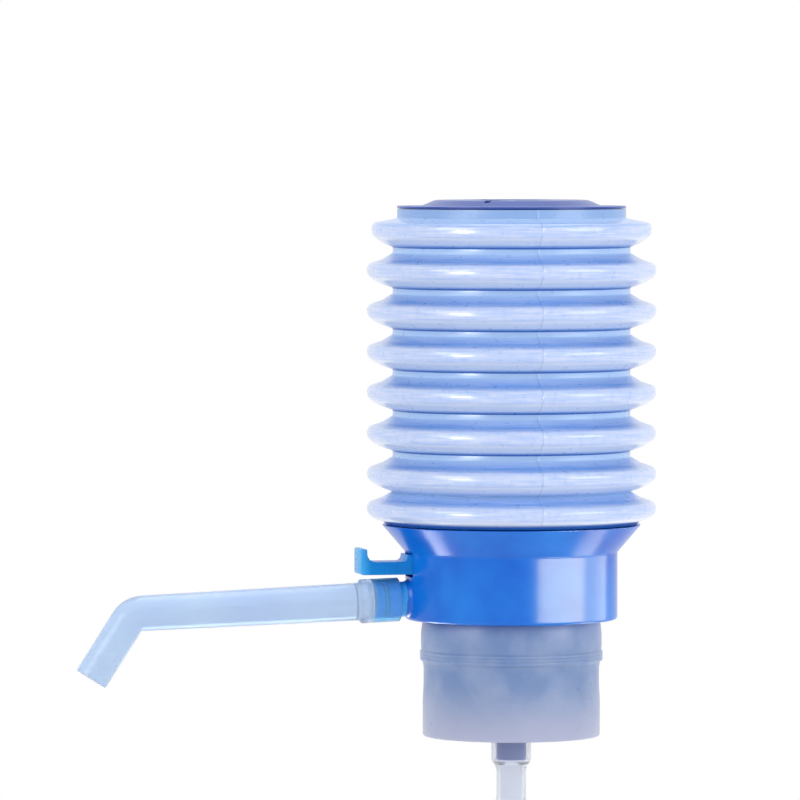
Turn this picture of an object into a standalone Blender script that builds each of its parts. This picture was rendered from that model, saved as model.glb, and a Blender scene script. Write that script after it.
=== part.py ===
# Bellows hand pump: a blow-moulded bellows on a valve housing, with a push-on spout,
# a pressure release lever, a mounting collar and a dip tube in three lengths.
# Metres, +Z up. The origin is on the pump's axis, in the plane of the gasket's lower
# face, and the spout points along -X.

import bmesh
import bpy
from math import atan2, cos, pi, radians, sin, sqrt, tan
from mathutils import Matrix, Vector

# Clearances, and sizes that the whole part shares
FIT_GAP = 0.0003
RUNNING_GAP = 0.0002
LEVER_SIDE_GAP = 0.00035
CUT_OVERRUN = 0.001
MERGE_DISTANCE = 0.000001
EDGE_ROUND = 0.0004
CREASE_ANGLE = radians(35)
# Holes are turned this much, so that their facets cross no edge of a turned piece
FACET_TURN = radians(3.7)
ARC_STEPS = 2
LONGEST_FILLET_SHARE = 0.45
LARGE_STEPS = 36
BELLOWS_STEPS = 32
TUBE_STEPS = 18
SMALL_STEPS = 12
SEAL_STEPS = 6

# Mounting collar, with its lower end around the seat and its upper end on the spigot
COLLAR_BORE = 0.0277
COLLAR_WALL = 0.0024
COLLAR_BOTTOM = -0.0265
COLLAR_BAND_WALL = 0.0033
COLLAR_BAND_TOP = 0.0025
COLLAR_BAND_BOTTOM = -0.0005
COLLAR_SHOULDER_WALL = 0.0030
COLLAR_SHOULDER_TOP = 0.0085
COLLAR_NECK_WALL = 0.0024
COLLAR_WAIST_WALL = 0.0021
COLLAR_WAIST_TOP = -0.0024
COLLAR_WAIST_BOTTOM = -0.0095
COLLAR_LEAD_IN = 0.0010
COLLAR_RIB_HEIGHTS = (-0.0060, -0.0155)
COLLAR_RIB_DEPTH = 0.0005
COLLAR_RIB_WIDTH = 0.0012

# Flat gasket in the collar, under the housing's floor
GASKET_THICKNESS = 0.0020
GASKET_WIDTH = 0.0058

# Housing
HOUSING_RADIUS = 0.0360
HOUSING_BOTTOM = 0.0132
HOUSING_WALL = 0.0022
HOUSING_FOOT_ROUND = 0.0010
HOUSING_HEIGHT = 0.0230
FLARE_HEIGHT = 0.0092
FLARE_WIDTH = 0.0080
FLARE_ROUND = 0.0020
RIM_ROUND = 0.0005
LEDGE_RISE = 0.0013
SPIGOT_GAP = 0.0005
SPIGOT_WALL = 0.0023
SPIGOT_BEAD = 0.0005
SPIGOT_BEAD_HEIGHT = 0.0070
SPIGOT_BEAD_WIDTH = 0.0016
FLOOR_THICKNESS = 0.0020
FLOOR_HOLE_COUNT = 6
FLOOR_HOLE_RADIUS = 0.0022
FLOOR_HOLE_CIRCLE = 0.0150

# Outlet nipple, moulded on the housing, and the seal in its groove
SPOUT_AXIS_RISE = 0.0087
SPOUT_DROOP = radians(2.3)
NIPPLE_RADIUS = 0.0060
NIPPLE_WALL = 0.0022
NIPPLE_LENGTH = 0.0115
NIPPLE_CHAMFER = 0.0006
NIPPLE_GROOVE_SETBACK = 0.0035
SPOUT_SEAL_THICKNESS = 0.0009

# Riser pipe, plugged into the housing from below, and its seal
RISER_HEAD_RADIUS = 0.0064
RISER_HEAD_HEIGHT = 0.0160
RISER_FLANGE_WIDTH = 0.0036
RISER_FLANGE_THICKNESS = 0.0015
RISER_WALL = 0.00145
RISER_GROOVE_HEIGHT = 0.0110
RISER_SEAL_THICKNESS = 0.0010
SOCKET_WALL = 0.0018

# Dip tube, in three lengths that push into each other
TUBE_RADIUS = 0.00505
TUBE_WALL = 0.0013
TUBE_LENGTH = 0.1700
TUBE_TOP = -0.0095
BELL_WALL = 0.0014
BELL_DEPTH = 0.0253
BELL_CONE = 0.0027
TUBE_OVERLAP = 0.0250
TUBE_NAMES = ("dip_tube_upper", "dip_tube_middle", "dip_tube_lower")
TUBE_NOTCH_WIDTH = 0.0030
TUBE_NOTCH_HEIGHT = 0.0045

# Valve plate between the bellows and the housing, its seal and its clamp ring
PLATE_INSET = 0.0008
PLATE_THICKNESS = 0.0015
PLATE_SEAL_THICKNESS = 0.0010
PLATE_RIB_RADIUS = 0.0200
PLATE_RIB_WIDTH = 0.0015
PLATE_RIB_HEIGHT = 0.0020
CLAMP_RING_WALL = 0.0016
CLAMP_FOOT_WIDTH = 0.0030
CLAMP_FOOT_THICKNESS = 0.0012

# Umbrella valves, one under the valve plate and one under the well of the cap
VALVE_RADIUS = 0.0110
VALVE_RIM = 0.0010
VALVE_CROWN = 0.0022
VALVE_CROWN_RADIUS = 0.0040
VALVE_STEM_RADIUS = 0.0016
VALVE_STEM_NECK = 0.0012
VALVE_LIFT = 0.0010
VALVE_CLIP_RADIUS = 0.0034
VALVE_CLIP_THICKNESS = 0.0009
VALVE_HEAD_HEIGHT = 0.0005
VALVE_HOLE_COUNT = 6
VALVE_HOLE_RADIUS = 0.0015
VALVE_HOLE_CIRCLE = 0.0068

# Bellows
BELLOWS_VALLEY = 0.0403
BELLOWS_FOLD_DEPTH = 0.0091
BELLOWS_TOP_FOLD_DEPTH = 0.0075
BELLOWS_WALL = 0.0013
BELLOWS_FOLDS = 8
BELLOWS_PITCH = 0.0138
BELLOWS_LAST_PITCH = 0.0118
BELLOWS_LAST_CREST_RISE = 0.0054
BELLOWS_NECK_RADIUS = 0.0388
BELLOWS_NECK_FOOT_RISE = 0.0038
BELLOWS_NECK_HEIGHT = 0.0032
BELLOWS_SHOULDER_INSET = 0.0004
BELLOWS_SHOULDER_RISE = 0.0008
# One fold from its upper foot to its lower foot: height from the crest as a share of
# the pitch, then radius as a share of the way from valley to crest.
FOLD_SHARES = (
    (0.425, 0.00),
    (0.262, 0.43),
    (0.165, 0.89),
    (0.060, 1.00),
    (-0.110, 0.96),
    (-0.230, 0.75),
    (-0.340, 0.42),
    (-0.425, 0.00),
)
TOP_FOLD_START = 2
LAST_FOLD_END = 6
# The same fold with a plain crest, which the inner surface follows below the top fold
PLAIN_FOLD_SHARES = ((0.425, 0.00), (-0.060, 1.15), (-0.425, 0.00))

# Press cap
CAP_FLANGE_THICKNESS = 0.0007
CAP_PAD_HEIGHT = 0.0020
CAP_PAD_RADIUS = 0.0260
CAP_PAD_SLOPE_WIDTH = 0.0046
CAP_WALL = 0.0020
CAP_SKIRT_WALL = 0.0028
CAP_SKIRT_LENGTH = 0.0062
CAP_WELL_RADIUS = 0.0130
CAP_WELL_DEPTH = 0.0030
CAP_WELL_FLOOR = 0.0018
CAP_GROOVE_DROP = 0.0034
CAP_SEAL_THICKNESS = 0.0011
CAP_AIR_GROOVES = 3
CAP_AIR_GROOVE_WIDTH = 0.0020
CAP_AIR_GROOVE_DEPTH = 0.0008

# Release lever, its pocket in the housing, pin, spring and vent pad
LEVER_WIDTH = 0.0119
LEVER_LENGTH = 0.0172
LEVER_HEAD_THICKNESS = 0.0022
LEVER_HEAD_HEIGHT = 0.0088
LEVER_BAR_THICKNESS = 0.0043
LEVER_BAR_RISE = 0.0010
LEVER_ROOT_LENGTH = 0.0012
LEVER_ROOT_DEPTH = 0.0057
LEVER_ROOT_DROP = 0.0005
LEVER_ARM_THICKNESS = 0.0023
LEVER_ARM_RISE = 0.0023
LEVER_ARM_DEPTH = 0.0155
LEVER_ROUND = 0.0012
LEVER_ROOT_ROUND = 0.0022
PIN_RADIUS = 0.0010
PIN_DEPTH = 0.0030
PIN_RISE = 0.0042
PIN_HOLD = 0.0010
POCKET_WALL = 0.0018
POCKET_HEIGHT = 0.0082
POCKET_DEPTH = 0.0167
POCKET_SKIN = 0.0011
VENT_DEPTH = 0.0130
VENT_SPACING = 0.0084
VENT_RADIUS = 0.0011
VENT_SEAT_RADIUS = 0.0019
VENT_SEAT_HEIGHT = 0.0005
PAD_LENGTH = 0.0048
SPRING_RADIUS = 0.0016
SPRING_WIRE = 0.0002
SPRING_TURNS = 3
SPRING_DEPTH = 0.0120
SPRING_POINTS_PER_TURN = 10

# Spout
CUFF_RADIUS = 0.00745
CUFF_GAP = 0.0033
CUFF_LENGTH = 0.0138
CUFF_SHOULDER = 0.0010
SPOUT_RADIUS = 0.0064
SPOUT_ELBOW_RADIUS = 0.0060
SPOUT_LEG_RADIUS = 0.0058
SPOUT_WALL = 0.0015
SPOUT_STOP_GAP = 0.0010
SPOUT_LENGTH = 0.0879
ELBOW_BEND = radians(55)
ELBOW_INNER_ROUND = 0.0005
ELBOW_STEPS = 6
LEG_LENGTH = 0.0225

# Sizes that follow from those above
FLARE_FOOT = HOUSING_BOTTOM + HOUSING_HEIGHT
FLARE_TOP = FLARE_FOOT + FLARE_HEIGHT
FLARE_RADIUS = HOUSING_RADIUS + FLARE_WIDTH
FLARE_SLOPE = (FLARE_RADIUS - HOUSING_RADIUS) / (FLARE_TOP - FLARE_FOOT)
FLARE_STRETCH = sqrt(1 + FLARE_SLOPE * FLARE_SLOPE)
HOUSING_BORE = HOUSING_RADIUS - HOUSING_WALL
SPIGOT_RADIUS = COLLAR_BORE - SPIGOT_GAP
SPIGOT_BOTTOM = GASKET_THICKNESS + FIT_GAP
COLLAR_TOP = HOUSING_BOTTOM - FIT_GAP
SOCKET_RADIUS = RISER_HEAD_RADIUS + FIT_GAP
LEDGE_HEIGHT = FLARE_FOOT + LEDGE_RISE
PLATE_RADIUS = HOUSING_RADIUS - PLATE_INSET
PLATE_BORE = PLATE_RADIUS + FIT_GAP
PLATE_BOTTOM = LEDGE_HEIGHT + PLATE_SEAL_THICKNESS + 2 * FIT_GAP
PLATE_TOP = PLATE_BOTTOM + PLATE_THICKNESS
FLOOR_TOP = SPIGOT_BOTTOM + FLOOR_THICKNESS
SPOUT_AXIS_HEIGHT = HOUSING_BOTTOM + SPOUT_AXIS_RISE
NIPPLE_BORE = NIPPLE_RADIUS - NIPPLE_WALL
NIPPLE_REACH = HOUSING_RADIUS + NIPPLE_LENGTH
NIPPLE_GROOVE_PLACE = NIPPLE_REACH - NIPPLE_GROOVE_SETBACK
NIPPLE_GROOVE_FLOOR = NIPPLE_RADIUS - SPOUT_SEAL_THICKNESS - FIT_GAP
RISER_FLANGE_RADIUS = RISER_HEAD_RADIUS + RISER_FLANGE_WIDTH
RISER_BORE = TUBE_RADIUS - RISER_WALL
RISER_GROOVE_FLOOR = RISER_HEAD_RADIUS - RISER_SEAL_THICKNESS - FIT_GAP
TUBE_BORE = TUBE_RADIUS - TUBE_WALL
CUFF_START = HOUSING_RADIUS + CUFF_GAP
CUFF_END = CUFF_START + CUFF_LENGTH
ELBOW_PLACE = CUFF_START + SPOUT_LENGTH
POCKET_HALF_WIDTH = LEVER_WIDTH / 2 + LEVER_SIDE_GAP
POCKET_SIDE = POCKET_HALF_WIDTH + POCKET_WALL
POCKET_END = HOUSING_RADIUS - POCKET_DEPTH
POCKET_CEILING = FLARE_FOOT
POCKET_FLOOR = POCKET_CEILING - POCKET_HEIGHT
LEVER_REACH = HOUSING_RADIUS + LEVER_LENGTH
LEVER_BAR_BOTTOM = POCKET_FLOOR + LEVER_BAR_RISE
LEVER_BAR_TOP = LEVER_BAR_BOTTOM + LEVER_BAR_THICKNESS
LEVER_HEAD_TOP = LEVER_BAR_BOTTOM + LEVER_HEAD_HEIGHT
LEVER_ROOT_REACH = HOUSING_RADIUS + LEVER_ROOT_LENGTH
LEVER_ROOT_END = HOUSING_RADIUS - LEVER_ROOT_DEPTH
LEVER_ROOT_TOP = POCKET_CEILING - LEVER_ROOT_DROP
LEVER_ARM_BOTTOM = POCKET_FLOOR + LEVER_ARM_RISE
LEVER_ARM_TOP = LEVER_ARM_BOTTOM + LEVER_ARM_THICKNESS
LEVER_ARM_END = HOUSING_RADIUS - LEVER_ARM_DEPTH
PIN_PLACE = HOUSING_RADIUS - PIN_DEPTH
PIN_HEIGHT = POCKET_FLOOR + PIN_RISE
VENT_PLACE = HOUSING_RADIUS - VENT_DEPTH
VENT_SEAT_TOP = POCKET_FLOOR + VENT_SEAT_HEIGHT
SPRING_PLACE = HOUSING_RADIUS - SPRING_DEPTH
BELLOWS_CREST = BELLOWS_VALLEY + BELLOWS_FOLD_DEPTH
BELLOWS_TOP_CREST = BELLOWS_VALLEY + BELLOWS_TOP_FOLD_DEPTH
BELLOWS_SHOULDER_RADIUS = FLARE_RADIUS - BELLOWS_SHOULDER_INSET
BELLOWS_LAST_CREST_HEIGHT = FLARE_TOP + BELLOWS_LAST_CREST_RISE
BELLOWS_TOP_CREST_HEIGHT = (
    BELLOWS_LAST_CREST_HEIGHT + BELLOWS_LAST_PITCH + (BELLOWS_FOLDS - 2) * BELLOWS_PITCH
)
BELLOWS_NECK_FOOT = BELLOWS_TOP_CREST_HEIGHT + BELLOWS_NECK_FOOT_RISE
BELLOWS_RIM = BELLOWS_NECK_FOOT + BELLOWS_NECK_HEIGHT
CAP_FLANGE_BOTTOM = BELLOWS_RIM + FIT_GAP
CAP_FLANGE_TOP = CAP_FLANGE_BOTTOM + CAP_FLANGE_THICKNESS
CAP_TOP = CAP_FLANGE_TOP + CAP_PAD_HEIGHT
CAP_PAD_FOOT_RADIUS = CAP_PAD_RADIUS + CAP_PAD_SLOPE_WIDTH
CAP_GROOVE_DEPTH = CAP_SEAL_THICKNESS + FIT_GAP + RUNNING_GAP
CAP_SKIRT_RADIUS = BELLOWS_NECK_RADIUS - BELLOWS_WALL - FIT_GAP
CAP_WELL_TOP = CAP_TOP - CAP_WELL_DEPTH
STEM_HOLE_RADIUS = VALVE_STEM_RADIUS + RUNNING_GAP


def clear_scene():
    for thing in list(bpy.data.objects):
        bpy.data.objects.remove(thing, do_unlink=True)


def make_material(name, colour, roughness, metallic=0.0):
    material = bpy.data.materials.new(name)
    material.use_nodes = True
    shader = material.node_tree.nodes["Principled BSDF"]
    shader.inputs["Base Color"].default_value = (*colour, 1.0)
    shader.inputs["Roughness"].default_value = roughness
    shader.inputs["Metallic"].default_value = metallic
    material.diffuse_color = (*colour, 1.0)
    return material


def add_object(name, shape, material=None):
    """A mesh object from a bmesh, shaded smooth with its creases kept."""
    bmesh.ops.remove_doubles(shape, verts=shape.verts, dist=MERGE_DISTANCE)
    bmesh.ops.recalc_face_normals(shape, faces=shape.faces)
    mesh = bpy.data.meshes.new(name)
    shape.to_mesh(mesh)
    shape.free()
    if material:
        mesh.materials.append(material)
    mesh.shade_smooth()
    mesh.set_sharp_from_angle(angle=CREASE_ANGLE)
    piece = bpy.data.objects.new(name, mesh)
    bpy.context.scene.collection.objects.link(piece)
    return piece


def rounded(corners):
    """An outline whose corners that give a radius as their third value are arcs."""
    outline = []
    for index, corner in enumerate(corners):
        here = Vector(corner[:2])
        if len(corner) == 2:
            outline.append(here)
            continue
        before = Vector(corners[index - 1][:2]) - here
        after = Vector(corners[(index + 1) % len(corners)][:2]) - here
        half_angle = before.angle(after) / 2
        longest = LONGEST_FILLET_SHARE * min(before.length, after.length)
        reach = min(corner[2] / tan(half_angle), longest)
        middle = (before.normalized() + after.normalized()).normalized()
        centre = here + middle * (reach / cos(half_angle))
        start = here + before.normalized() * reach - centre
        end = here + after.normalized() * reach - centre
        first = atan2(start.y, start.x)
        turn = (atan2(end.y, end.x) - first + pi) % (2 * pi) - pi
        for step in range(ARC_STEPS + 1):
            angle = first + turn * step / ARC_STEPS
            outline.append(centre + start.length * Vector((cos(angle), sin(angle))))
    return outline


def offset_path(path, distance):
    """An open path moved sideways by a distance, to the right of its direction."""
    moved = []
    for index, here in enumerate(path):
        sides = []
        for a, b in ((index - 1, index), (index, index + 1)):
            if a >= 0 and b < len(path):
                along = (path[b] - path[a]).normalized()
                sides.append(Vector((along.y, -along.x)))
        middle = (sides[0] + sides[-1]).normalized()
        moved.append(here + middle * (distance / middle.dot(sides[0])))
    return moved


def turned(name, corners, material=None, steps=LARGE_STEPS):
    """A solid of revolution about Z from corners of (radius, height, fillet)."""
    shape = bmesh.new()
    outline = rounded(corners)
    points = [shape.verts.new((radius, 0, height)) for radius, height in outline]
    for a, b in zip(points, points[1:] + points[:1]):
        if a.co.x > 0 or b.co.x > 0:
            shape.edges.new((a, b))
    bmesh.ops.spin(
        shape, geom=shape.verts[:] + shape.edges[:], axis=(0, 0, 1), cent=(0, 0, 0),
        angle=2 * pi, steps=steps, use_merge=True,
    )
    return add_object(name, shape, material)


def seal_ring(name, centre_radius, height, thickness, material, steps=TUBE_STEPS):
    """An O-ring of round section, lying flat at a height."""
    corners = []
    for step in range(SEAL_STEPS):
        angle = 2 * pi * step / SEAL_STEPS
        radius = centre_radius + thickness / 2 * cos(angle)
        corners.append((radius, height + thickness / 2 * sin(angle)))
    return turned(name, corners, material, steps)


def rod(name, start, end, radius, steps=TUBE_STEPS):
    """A cylinder between two points."""
    shape = bmesh.new()
    start = Vector(start)
    along = Vector(end) - start
    turn = along.to_track_quat("Z", "Y").to_matrix().to_4x4()
    place = Matrix.Translation(start + along / 2) @ turn @ Matrix.Rotation(FACET_TURN, 4, "Z")
    bmesh.ops.create_cone(
        shape, cap_ends=True, segments=steps, radius1=radius, radius2=radius,
        depth=along.length, matrix=place,
    )
    return add_object(name, shape)


def block(name, low, high, material=None):
    """A box between two corners."""
    shape = bmesh.new()
    low, high = Vector(low), Vector(high)
    bmesh.ops.create_cube(shape, size=1)
    bmesh.ops.scale(shape, vec=high - low, verts=shape.verts)
    bmesh.ops.translate(shape, vec=(low + high) / 2, verts=shape.verts)
    return add_object(name, shape, material)


def hole_ring(name, count, circle, radius, low, high):
    """A ring of upright rods, used to cut a ring of holes."""
    shape = bmesh.new()
    for index in range(count):
        angle = 2 * pi * (index + 1 / 2) / count + FACET_TURN
        place = Vector((circle * cos(angle), circle * sin(angle), (low + high) / 2))
        bmesh.ops.create_cone(
            shape, cap_ends=True, segments=SMALL_STEPS, radius1=radius, radius2=radius,
            depth=high - low, matrix=Matrix.Translation(place),
        )
    return add_object(name, shape)


def combine(piece, helper, operation):
    """A Boolean on the piece, with the helper hidden from the model."""
    modifier = piece.modifiers.new(helper.name, "BOOLEAN")
    modifier.operation = operation
    modifier.object = helper
    helper.hide_render = True
    helper.display_type = "WIRE"


def join(piece, helper):
    combine(piece, helper, "UNION")


def cut(piece, helper):
    combine(piece, helper, "DIFFERENCE")


def spout_frame():
    """Local Z runs out along the nipple and the spout, and local X points up."""
    turn = Matrix.Rotation(-(pi / 2 + SPOUT_DROOP), 4, "Y")
    return Matrix.Translation((0, 0, SPOUT_AXIS_HEIGHT)) @ turn


def flare_radius(height, inset):
    """Radius of the flare's cone at a height, this far inside its outer surface."""
    outer = HOUSING_RADIUS + FLARE_SLOPE * (height - FLARE_FOOT)
    return outer - inset * FLARE_STRETCH


def flare_height(radius, inset):
    """Height at which the flare's cone has a radius, this far inside it."""
    return FLARE_FOOT + (radius + inset * FLARE_STRETCH - HOUSING_RADIUS) / FLARE_SLOPE


def make_housing(blue):
    """The shell, then what is moulded on it, then what is cored out of it."""
    housing = housing_shell(blue)
    floor_middle = SPIGOT_BOTTOM + FLOOR_THICKNESS / 2
    join(housing, rod(
        "duct_body", (0, 0, floor_middle), (0, 0, SPOUT_AXIS_HEIGHT + NIPPLE_RADIUS),
        SOCKET_RADIUS + SOCKET_WALL,
    ))
    join(housing, nipple_body())
    join(housing, block(
        "pocket_body",
        (-(HOUSING_BORE + HOUSING_WALL / 8), -POCKET_SIDE, POCKET_FLOOR - POCKET_WALL),
        (POCKET_WALL - POCKET_END, POCKET_SIDE, POCKET_CEILING + POCKET_SKIN),
    ))
    cut_waterway(housing)
    cut(housing, block(
        "pocket_cut",
        (-(HOUSING_RADIUS + CUT_OVERRUN), -POCKET_HALF_WIDTH, POCKET_FLOOR),
        (-POCKET_END, POCKET_HALF_WIDTH, POCKET_CEILING),
    ))
    add_vent(housing, "left", -1)
    add_vent(housing, "right", 1)
    pin_end = POCKET_HALF_WIDTH + PIN_HOLD + RUNNING_GAP
    cut(housing, rod(
        "pin_hole_cut", (-PIN_PLACE, -pin_end, PIN_HEIGHT),
        (-PIN_PLACE, pin_end, PIN_HEIGHT), PIN_RADIUS + RUNNING_GAP, SMALL_STEPS,
    ))


def housing_shell(blue):
    """The turned cup: spigot, foot, wall, and the flare with the ledge inside it."""
    annulus_top = HOUSING_BOTTOM + HOUSING_WALL
    spigot_bore = SPIGOT_RADIUS - SPIGOT_WALL
    return turned("housing", (
        (0, SPIGOT_BOTTOM),
        (SPIGOT_RADIUS, SPIGOT_BOTTOM, EDGE_ROUND),
        (SPIGOT_RADIUS, SPIGOT_BEAD_HEIGHT - SPIGOT_BEAD_WIDTH / 2),
        (SPIGOT_RADIUS + SPIGOT_BEAD, SPIGOT_BEAD_HEIGHT),
        (SPIGOT_RADIUS, SPIGOT_BEAD_HEIGHT + SPIGOT_BEAD_WIDTH / 2),
        (SPIGOT_RADIUS, HOUSING_BOTTOM),
        (HOUSING_RADIUS, HOUSING_BOTTOM, HOUSING_FOOT_ROUND),
        (HOUSING_RADIUS, FLARE_FOOT, FLARE_ROUND),
        (FLARE_RADIUS, FLARE_TOP, RIM_ROUND),
        (flare_radius(FLARE_TOP, HOUSING_WALL), FLARE_TOP),
        (PLATE_BORE, flare_height(PLATE_BORE, HOUSING_WALL)),
        (PLATE_BORE, LEDGE_HEIGHT),
        (HOUSING_BORE, LEDGE_HEIGHT),
        (HOUSING_BORE, annulus_top),
        (spigot_bore, annulus_top),
        (spigot_bore, FLOOR_TOP),
        (0, FLOOR_TOP),
    ), blue)


def nipple_body():
    """The outlet nipple, still solid, with the groove of its seal."""
    groove_half = SPOUT_SEAL_THICKNESS / 2 + FIT_GAP
    nipple = turned("nipple_body", (
        (0, 0),
        (NIPPLE_RADIUS, 0),
        (NIPPLE_RADIUS, NIPPLE_GROOVE_PLACE - groove_half),
        (NIPPLE_GROOVE_FLOOR, NIPPLE_GROOVE_PLACE - groove_half),
        (NIPPLE_GROOVE_FLOOR, NIPPLE_GROOVE_PLACE + groove_half),
        (NIPPLE_RADIUS, NIPPLE_GROOVE_PLACE + groove_half),
        (NIPPLE_RADIUS, NIPPLE_REACH - NIPPLE_CHAMFER),
        (NIPPLE_RADIUS - NIPPLE_CHAMFER, NIPPLE_REACH),
        (0, NIPPLE_REACH),
    ), steps=TUBE_STEPS)
    nipple.matrix_world = spout_frame()
    return nipple


def cut_waterway(housing):
    """The riser's socket, the throat above it, the nipple's bore and the floor holes."""
    below = SPIGOT_BOTTOM - CUT_OVERRUN
    socket_top = RISER_HEAD_HEIGHT + FIT_GAP
    cut(housing, rod("socket_cut", (0, 0, below), (0, 0, socket_top), SOCKET_RADIUS))
    cut(housing, rod(
        "throat_cut", (0, 0, socket_top - CUT_OVERRUN), (0, 0, SPOUT_AXIS_HEIGHT),
        RISER_BORE,
    ))
    bore = rod(
        "nipple_bore_cut", (0, 0, -NIPPLE_BORE), (0, 0, NIPPLE_REACH + CUT_OVERRUN),
        NIPPLE_BORE,
    )
    bore.matrix_world = spout_frame()
    cut(housing, bore)
    cut(housing, hole_ring(
        "floor_hole_cut", FLOOR_HOLE_COUNT, FLOOR_HOLE_CIRCLE, FLOOR_HOLE_RADIUS,
        below, FLOOR_TOP + CUT_OVERRUN,
    ))


def add_vent(housing, name, side):
    """A vent through the pocket's floor, with the raised seat that the pad covers."""
    place = Vector((-VENT_PLACE, side * VENT_SPACING / 2, POCKET_FLOOR))
    seat_top = Vector((place.x, place.y, VENT_SEAT_TOP))
    seat_foot = place - Vector((0, 0, POCKET_WALL / 2))
    cut_low = place - Vector((0, 0, POCKET_WALL + CUT_OVERRUN / 4))
    cut_high = seat_top + Vector((0, 0, CUT_OVERRUN))
    join(housing, rod(
        f"{name}_vent_seat", seat_foot, seat_top, VENT_SEAT_RADIUS, SMALL_STEPS
    ))
    cut(housing, rod(f"{name}_vent_cut", cut_low, cut_high, VENT_RADIUS, SMALL_STEPS))


def make_collar(milky):
    groove = COLLAR_BORE + SPIGOT_BEAD
    groove_low = SPIGOT_BEAD_HEIGHT - SPIGOT_BEAD_WIDTH / 2 - SPIGOT_GAP
    groove_high = SPIGOT_BEAD_HEIGHT + SPIGOT_BEAD_WIDTH / 2 + SPIGOT_GAP
    outer = (
        (COLLAR_BORE + COLLAR_NECK_WALL, COLLAR_TOP, EDGE_ROUND),
        (COLLAR_BORE + COLLAR_SHOULDER_WALL, COLLAR_SHOULDER_TOP, COLLAR_WALL),
        (COLLAR_BORE + COLLAR_SHOULDER_WALL, COLLAR_BAND_TOP),
        (COLLAR_BORE + COLLAR_BAND_WALL, COLLAR_BAND_TOP),
        (COLLAR_BORE + COLLAR_BAND_WALL, COLLAR_BAND_BOTTOM),
        (COLLAR_BORE + COLLAR_WAIST_WALL, COLLAR_WAIST_TOP),
        (COLLAR_BORE + COLLAR_WALL, COLLAR_WAIST_BOTTOM, COLLAR_WALL),
        (COLLAR_BORE + COLLAR_WALL, COLLAR_BOTTOM, COLLAR_LEAD_IN),
        (COLLAR_BORE + COLLAR_LEAD_IN, COLLAR_BOTTOM),
        (COLLAR_BORE, COLLAR_BOTTOM + COLLAR_LEAD_IN),
    )
    inner = []
    for height in sorted(COLLAR_RIB_HEIGHTS):
        inner.append((COLLAR_BORE, height - COLLAR_RIB_WIDTH / 2))
        inner.append((COLLAR_BORE - COLLAR_RIB_DEPTH, height))
        inner.append((COLLAR_BORE, height + COLLAR_RIB_WIDTH / 2))
    inner.append((COLLAR_BORE, groove_low))
    inner.append((groove, SPIGOT_BEAD_HEIGHT))
    inner.append((COLLAR_BORE, groove_high))
    inner.append((COLLAR_BORE, COLLAR_TOP))
    turned("mounting_collar", (*outer, *inner), milky)


def make_gasket(rubber):
    outer = COLLAR_BORE - FIT_GAP
    inner = outer - GASKET_WIDTH
    turned("seat_gasket", (
        (outer, 0),
        (outer, GASKET_THICKNESS),
        (inner, GASKET_THICKNESS),
        (inner, 0),
    ), rubber)


def make_riser(blue, rubber):
    flange_bottom = SPIGOT_BOTTOM - FIT_GAP - RISER_FLANGE_THICKNESS
    groove_width = RISER_SEAL_THICKNESS + 2 * FIT_GAP
    pipe_end = TUBE_TOP - TUBE_OVERLAP
    turned("riser_pipe", (
        (RISER_BORE, pipe_end),
        (TUBE_RADIUS, pipe_end),
        (TUBE_RADIUS, flange_bottom),
        (RISER_FLANGE_RADIUS, flange_bottom),
        (RISER_FLANGE_RADIUS, SPIGOT_BOTTOM - FIT_GAP),
        (RISER_HEAD_RADIUS, SPIGOT_BOTTOM - FIT_GAP),
        (RISER_HEAD_RADIUS, RISER_GROOVE_HEIGHT - groove_width / 2),
        (RISER_GROOVE_FLOOR, RISER_GROOVE_HEIGHT - groove_width / 2),
        (RISER_GROOVE_FLOOR, RISER_GROOVE_HEIGHT + groove_width / 2),
        (RISER_HEAD_RADIUS, RISER_GROOVE_HEIGHT + groove_width / 2),
        (RISER_HEAD_RADIUS, RISER_HEAD_HEIGHT),
        (RISER_BORE, RISER_HEAD_HEIGHT),
    ), blue, TUBE_STEPS)
    centre = RISER_GROOVE_FLOOR + FIT_GAP + RISER_SEAL_THICKNESS / 2
    seal_ring(
        "riser_seal", centre, RISER_GROOVE_HEIGHT, RISER_SEAL_THICKNESS, rubber
    )


def make_dip_tubes(clear):
    bell_bore = TUBE_RADIUS + FIT_GAP
    for index, name in enumerate(TUBE_NAMES):
        top = TUBE_TOP - index * (TUBE_LENGTH - TUBE_OVERLAP)
        bell_floor = top - BELL_DEPTH
        end = top - TUBE_LENGTH
        tube = turned(name, (
            (bell_bore, top),
            (bell_bore + BELL_WALL, top),
            (bell_bore + BELL_WALL, bell_floor),
            (TUBE_RADIUS, bell_floor - BELL_CONE),
            (TUBE_RADIUS, end),
            (TUBE_BORE, end),
            (TUBE_BORE, bell_floor - BELL_CONE / 2),
            (bell_bore, bell_floor),
        ), clear, TUBE_STEPS)
    half = TUBE_NOTCH_WIDTH / 2
    reach = TUBE_RADIUS + CUT_OVERRUN
    cut(tube, block(
        "tube_notch_cut", (-reach, -half, end - CUT_OVERRUN),
        (reach, half, end + TUBE_NOTCH_HEIGHT),
    ))


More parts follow.
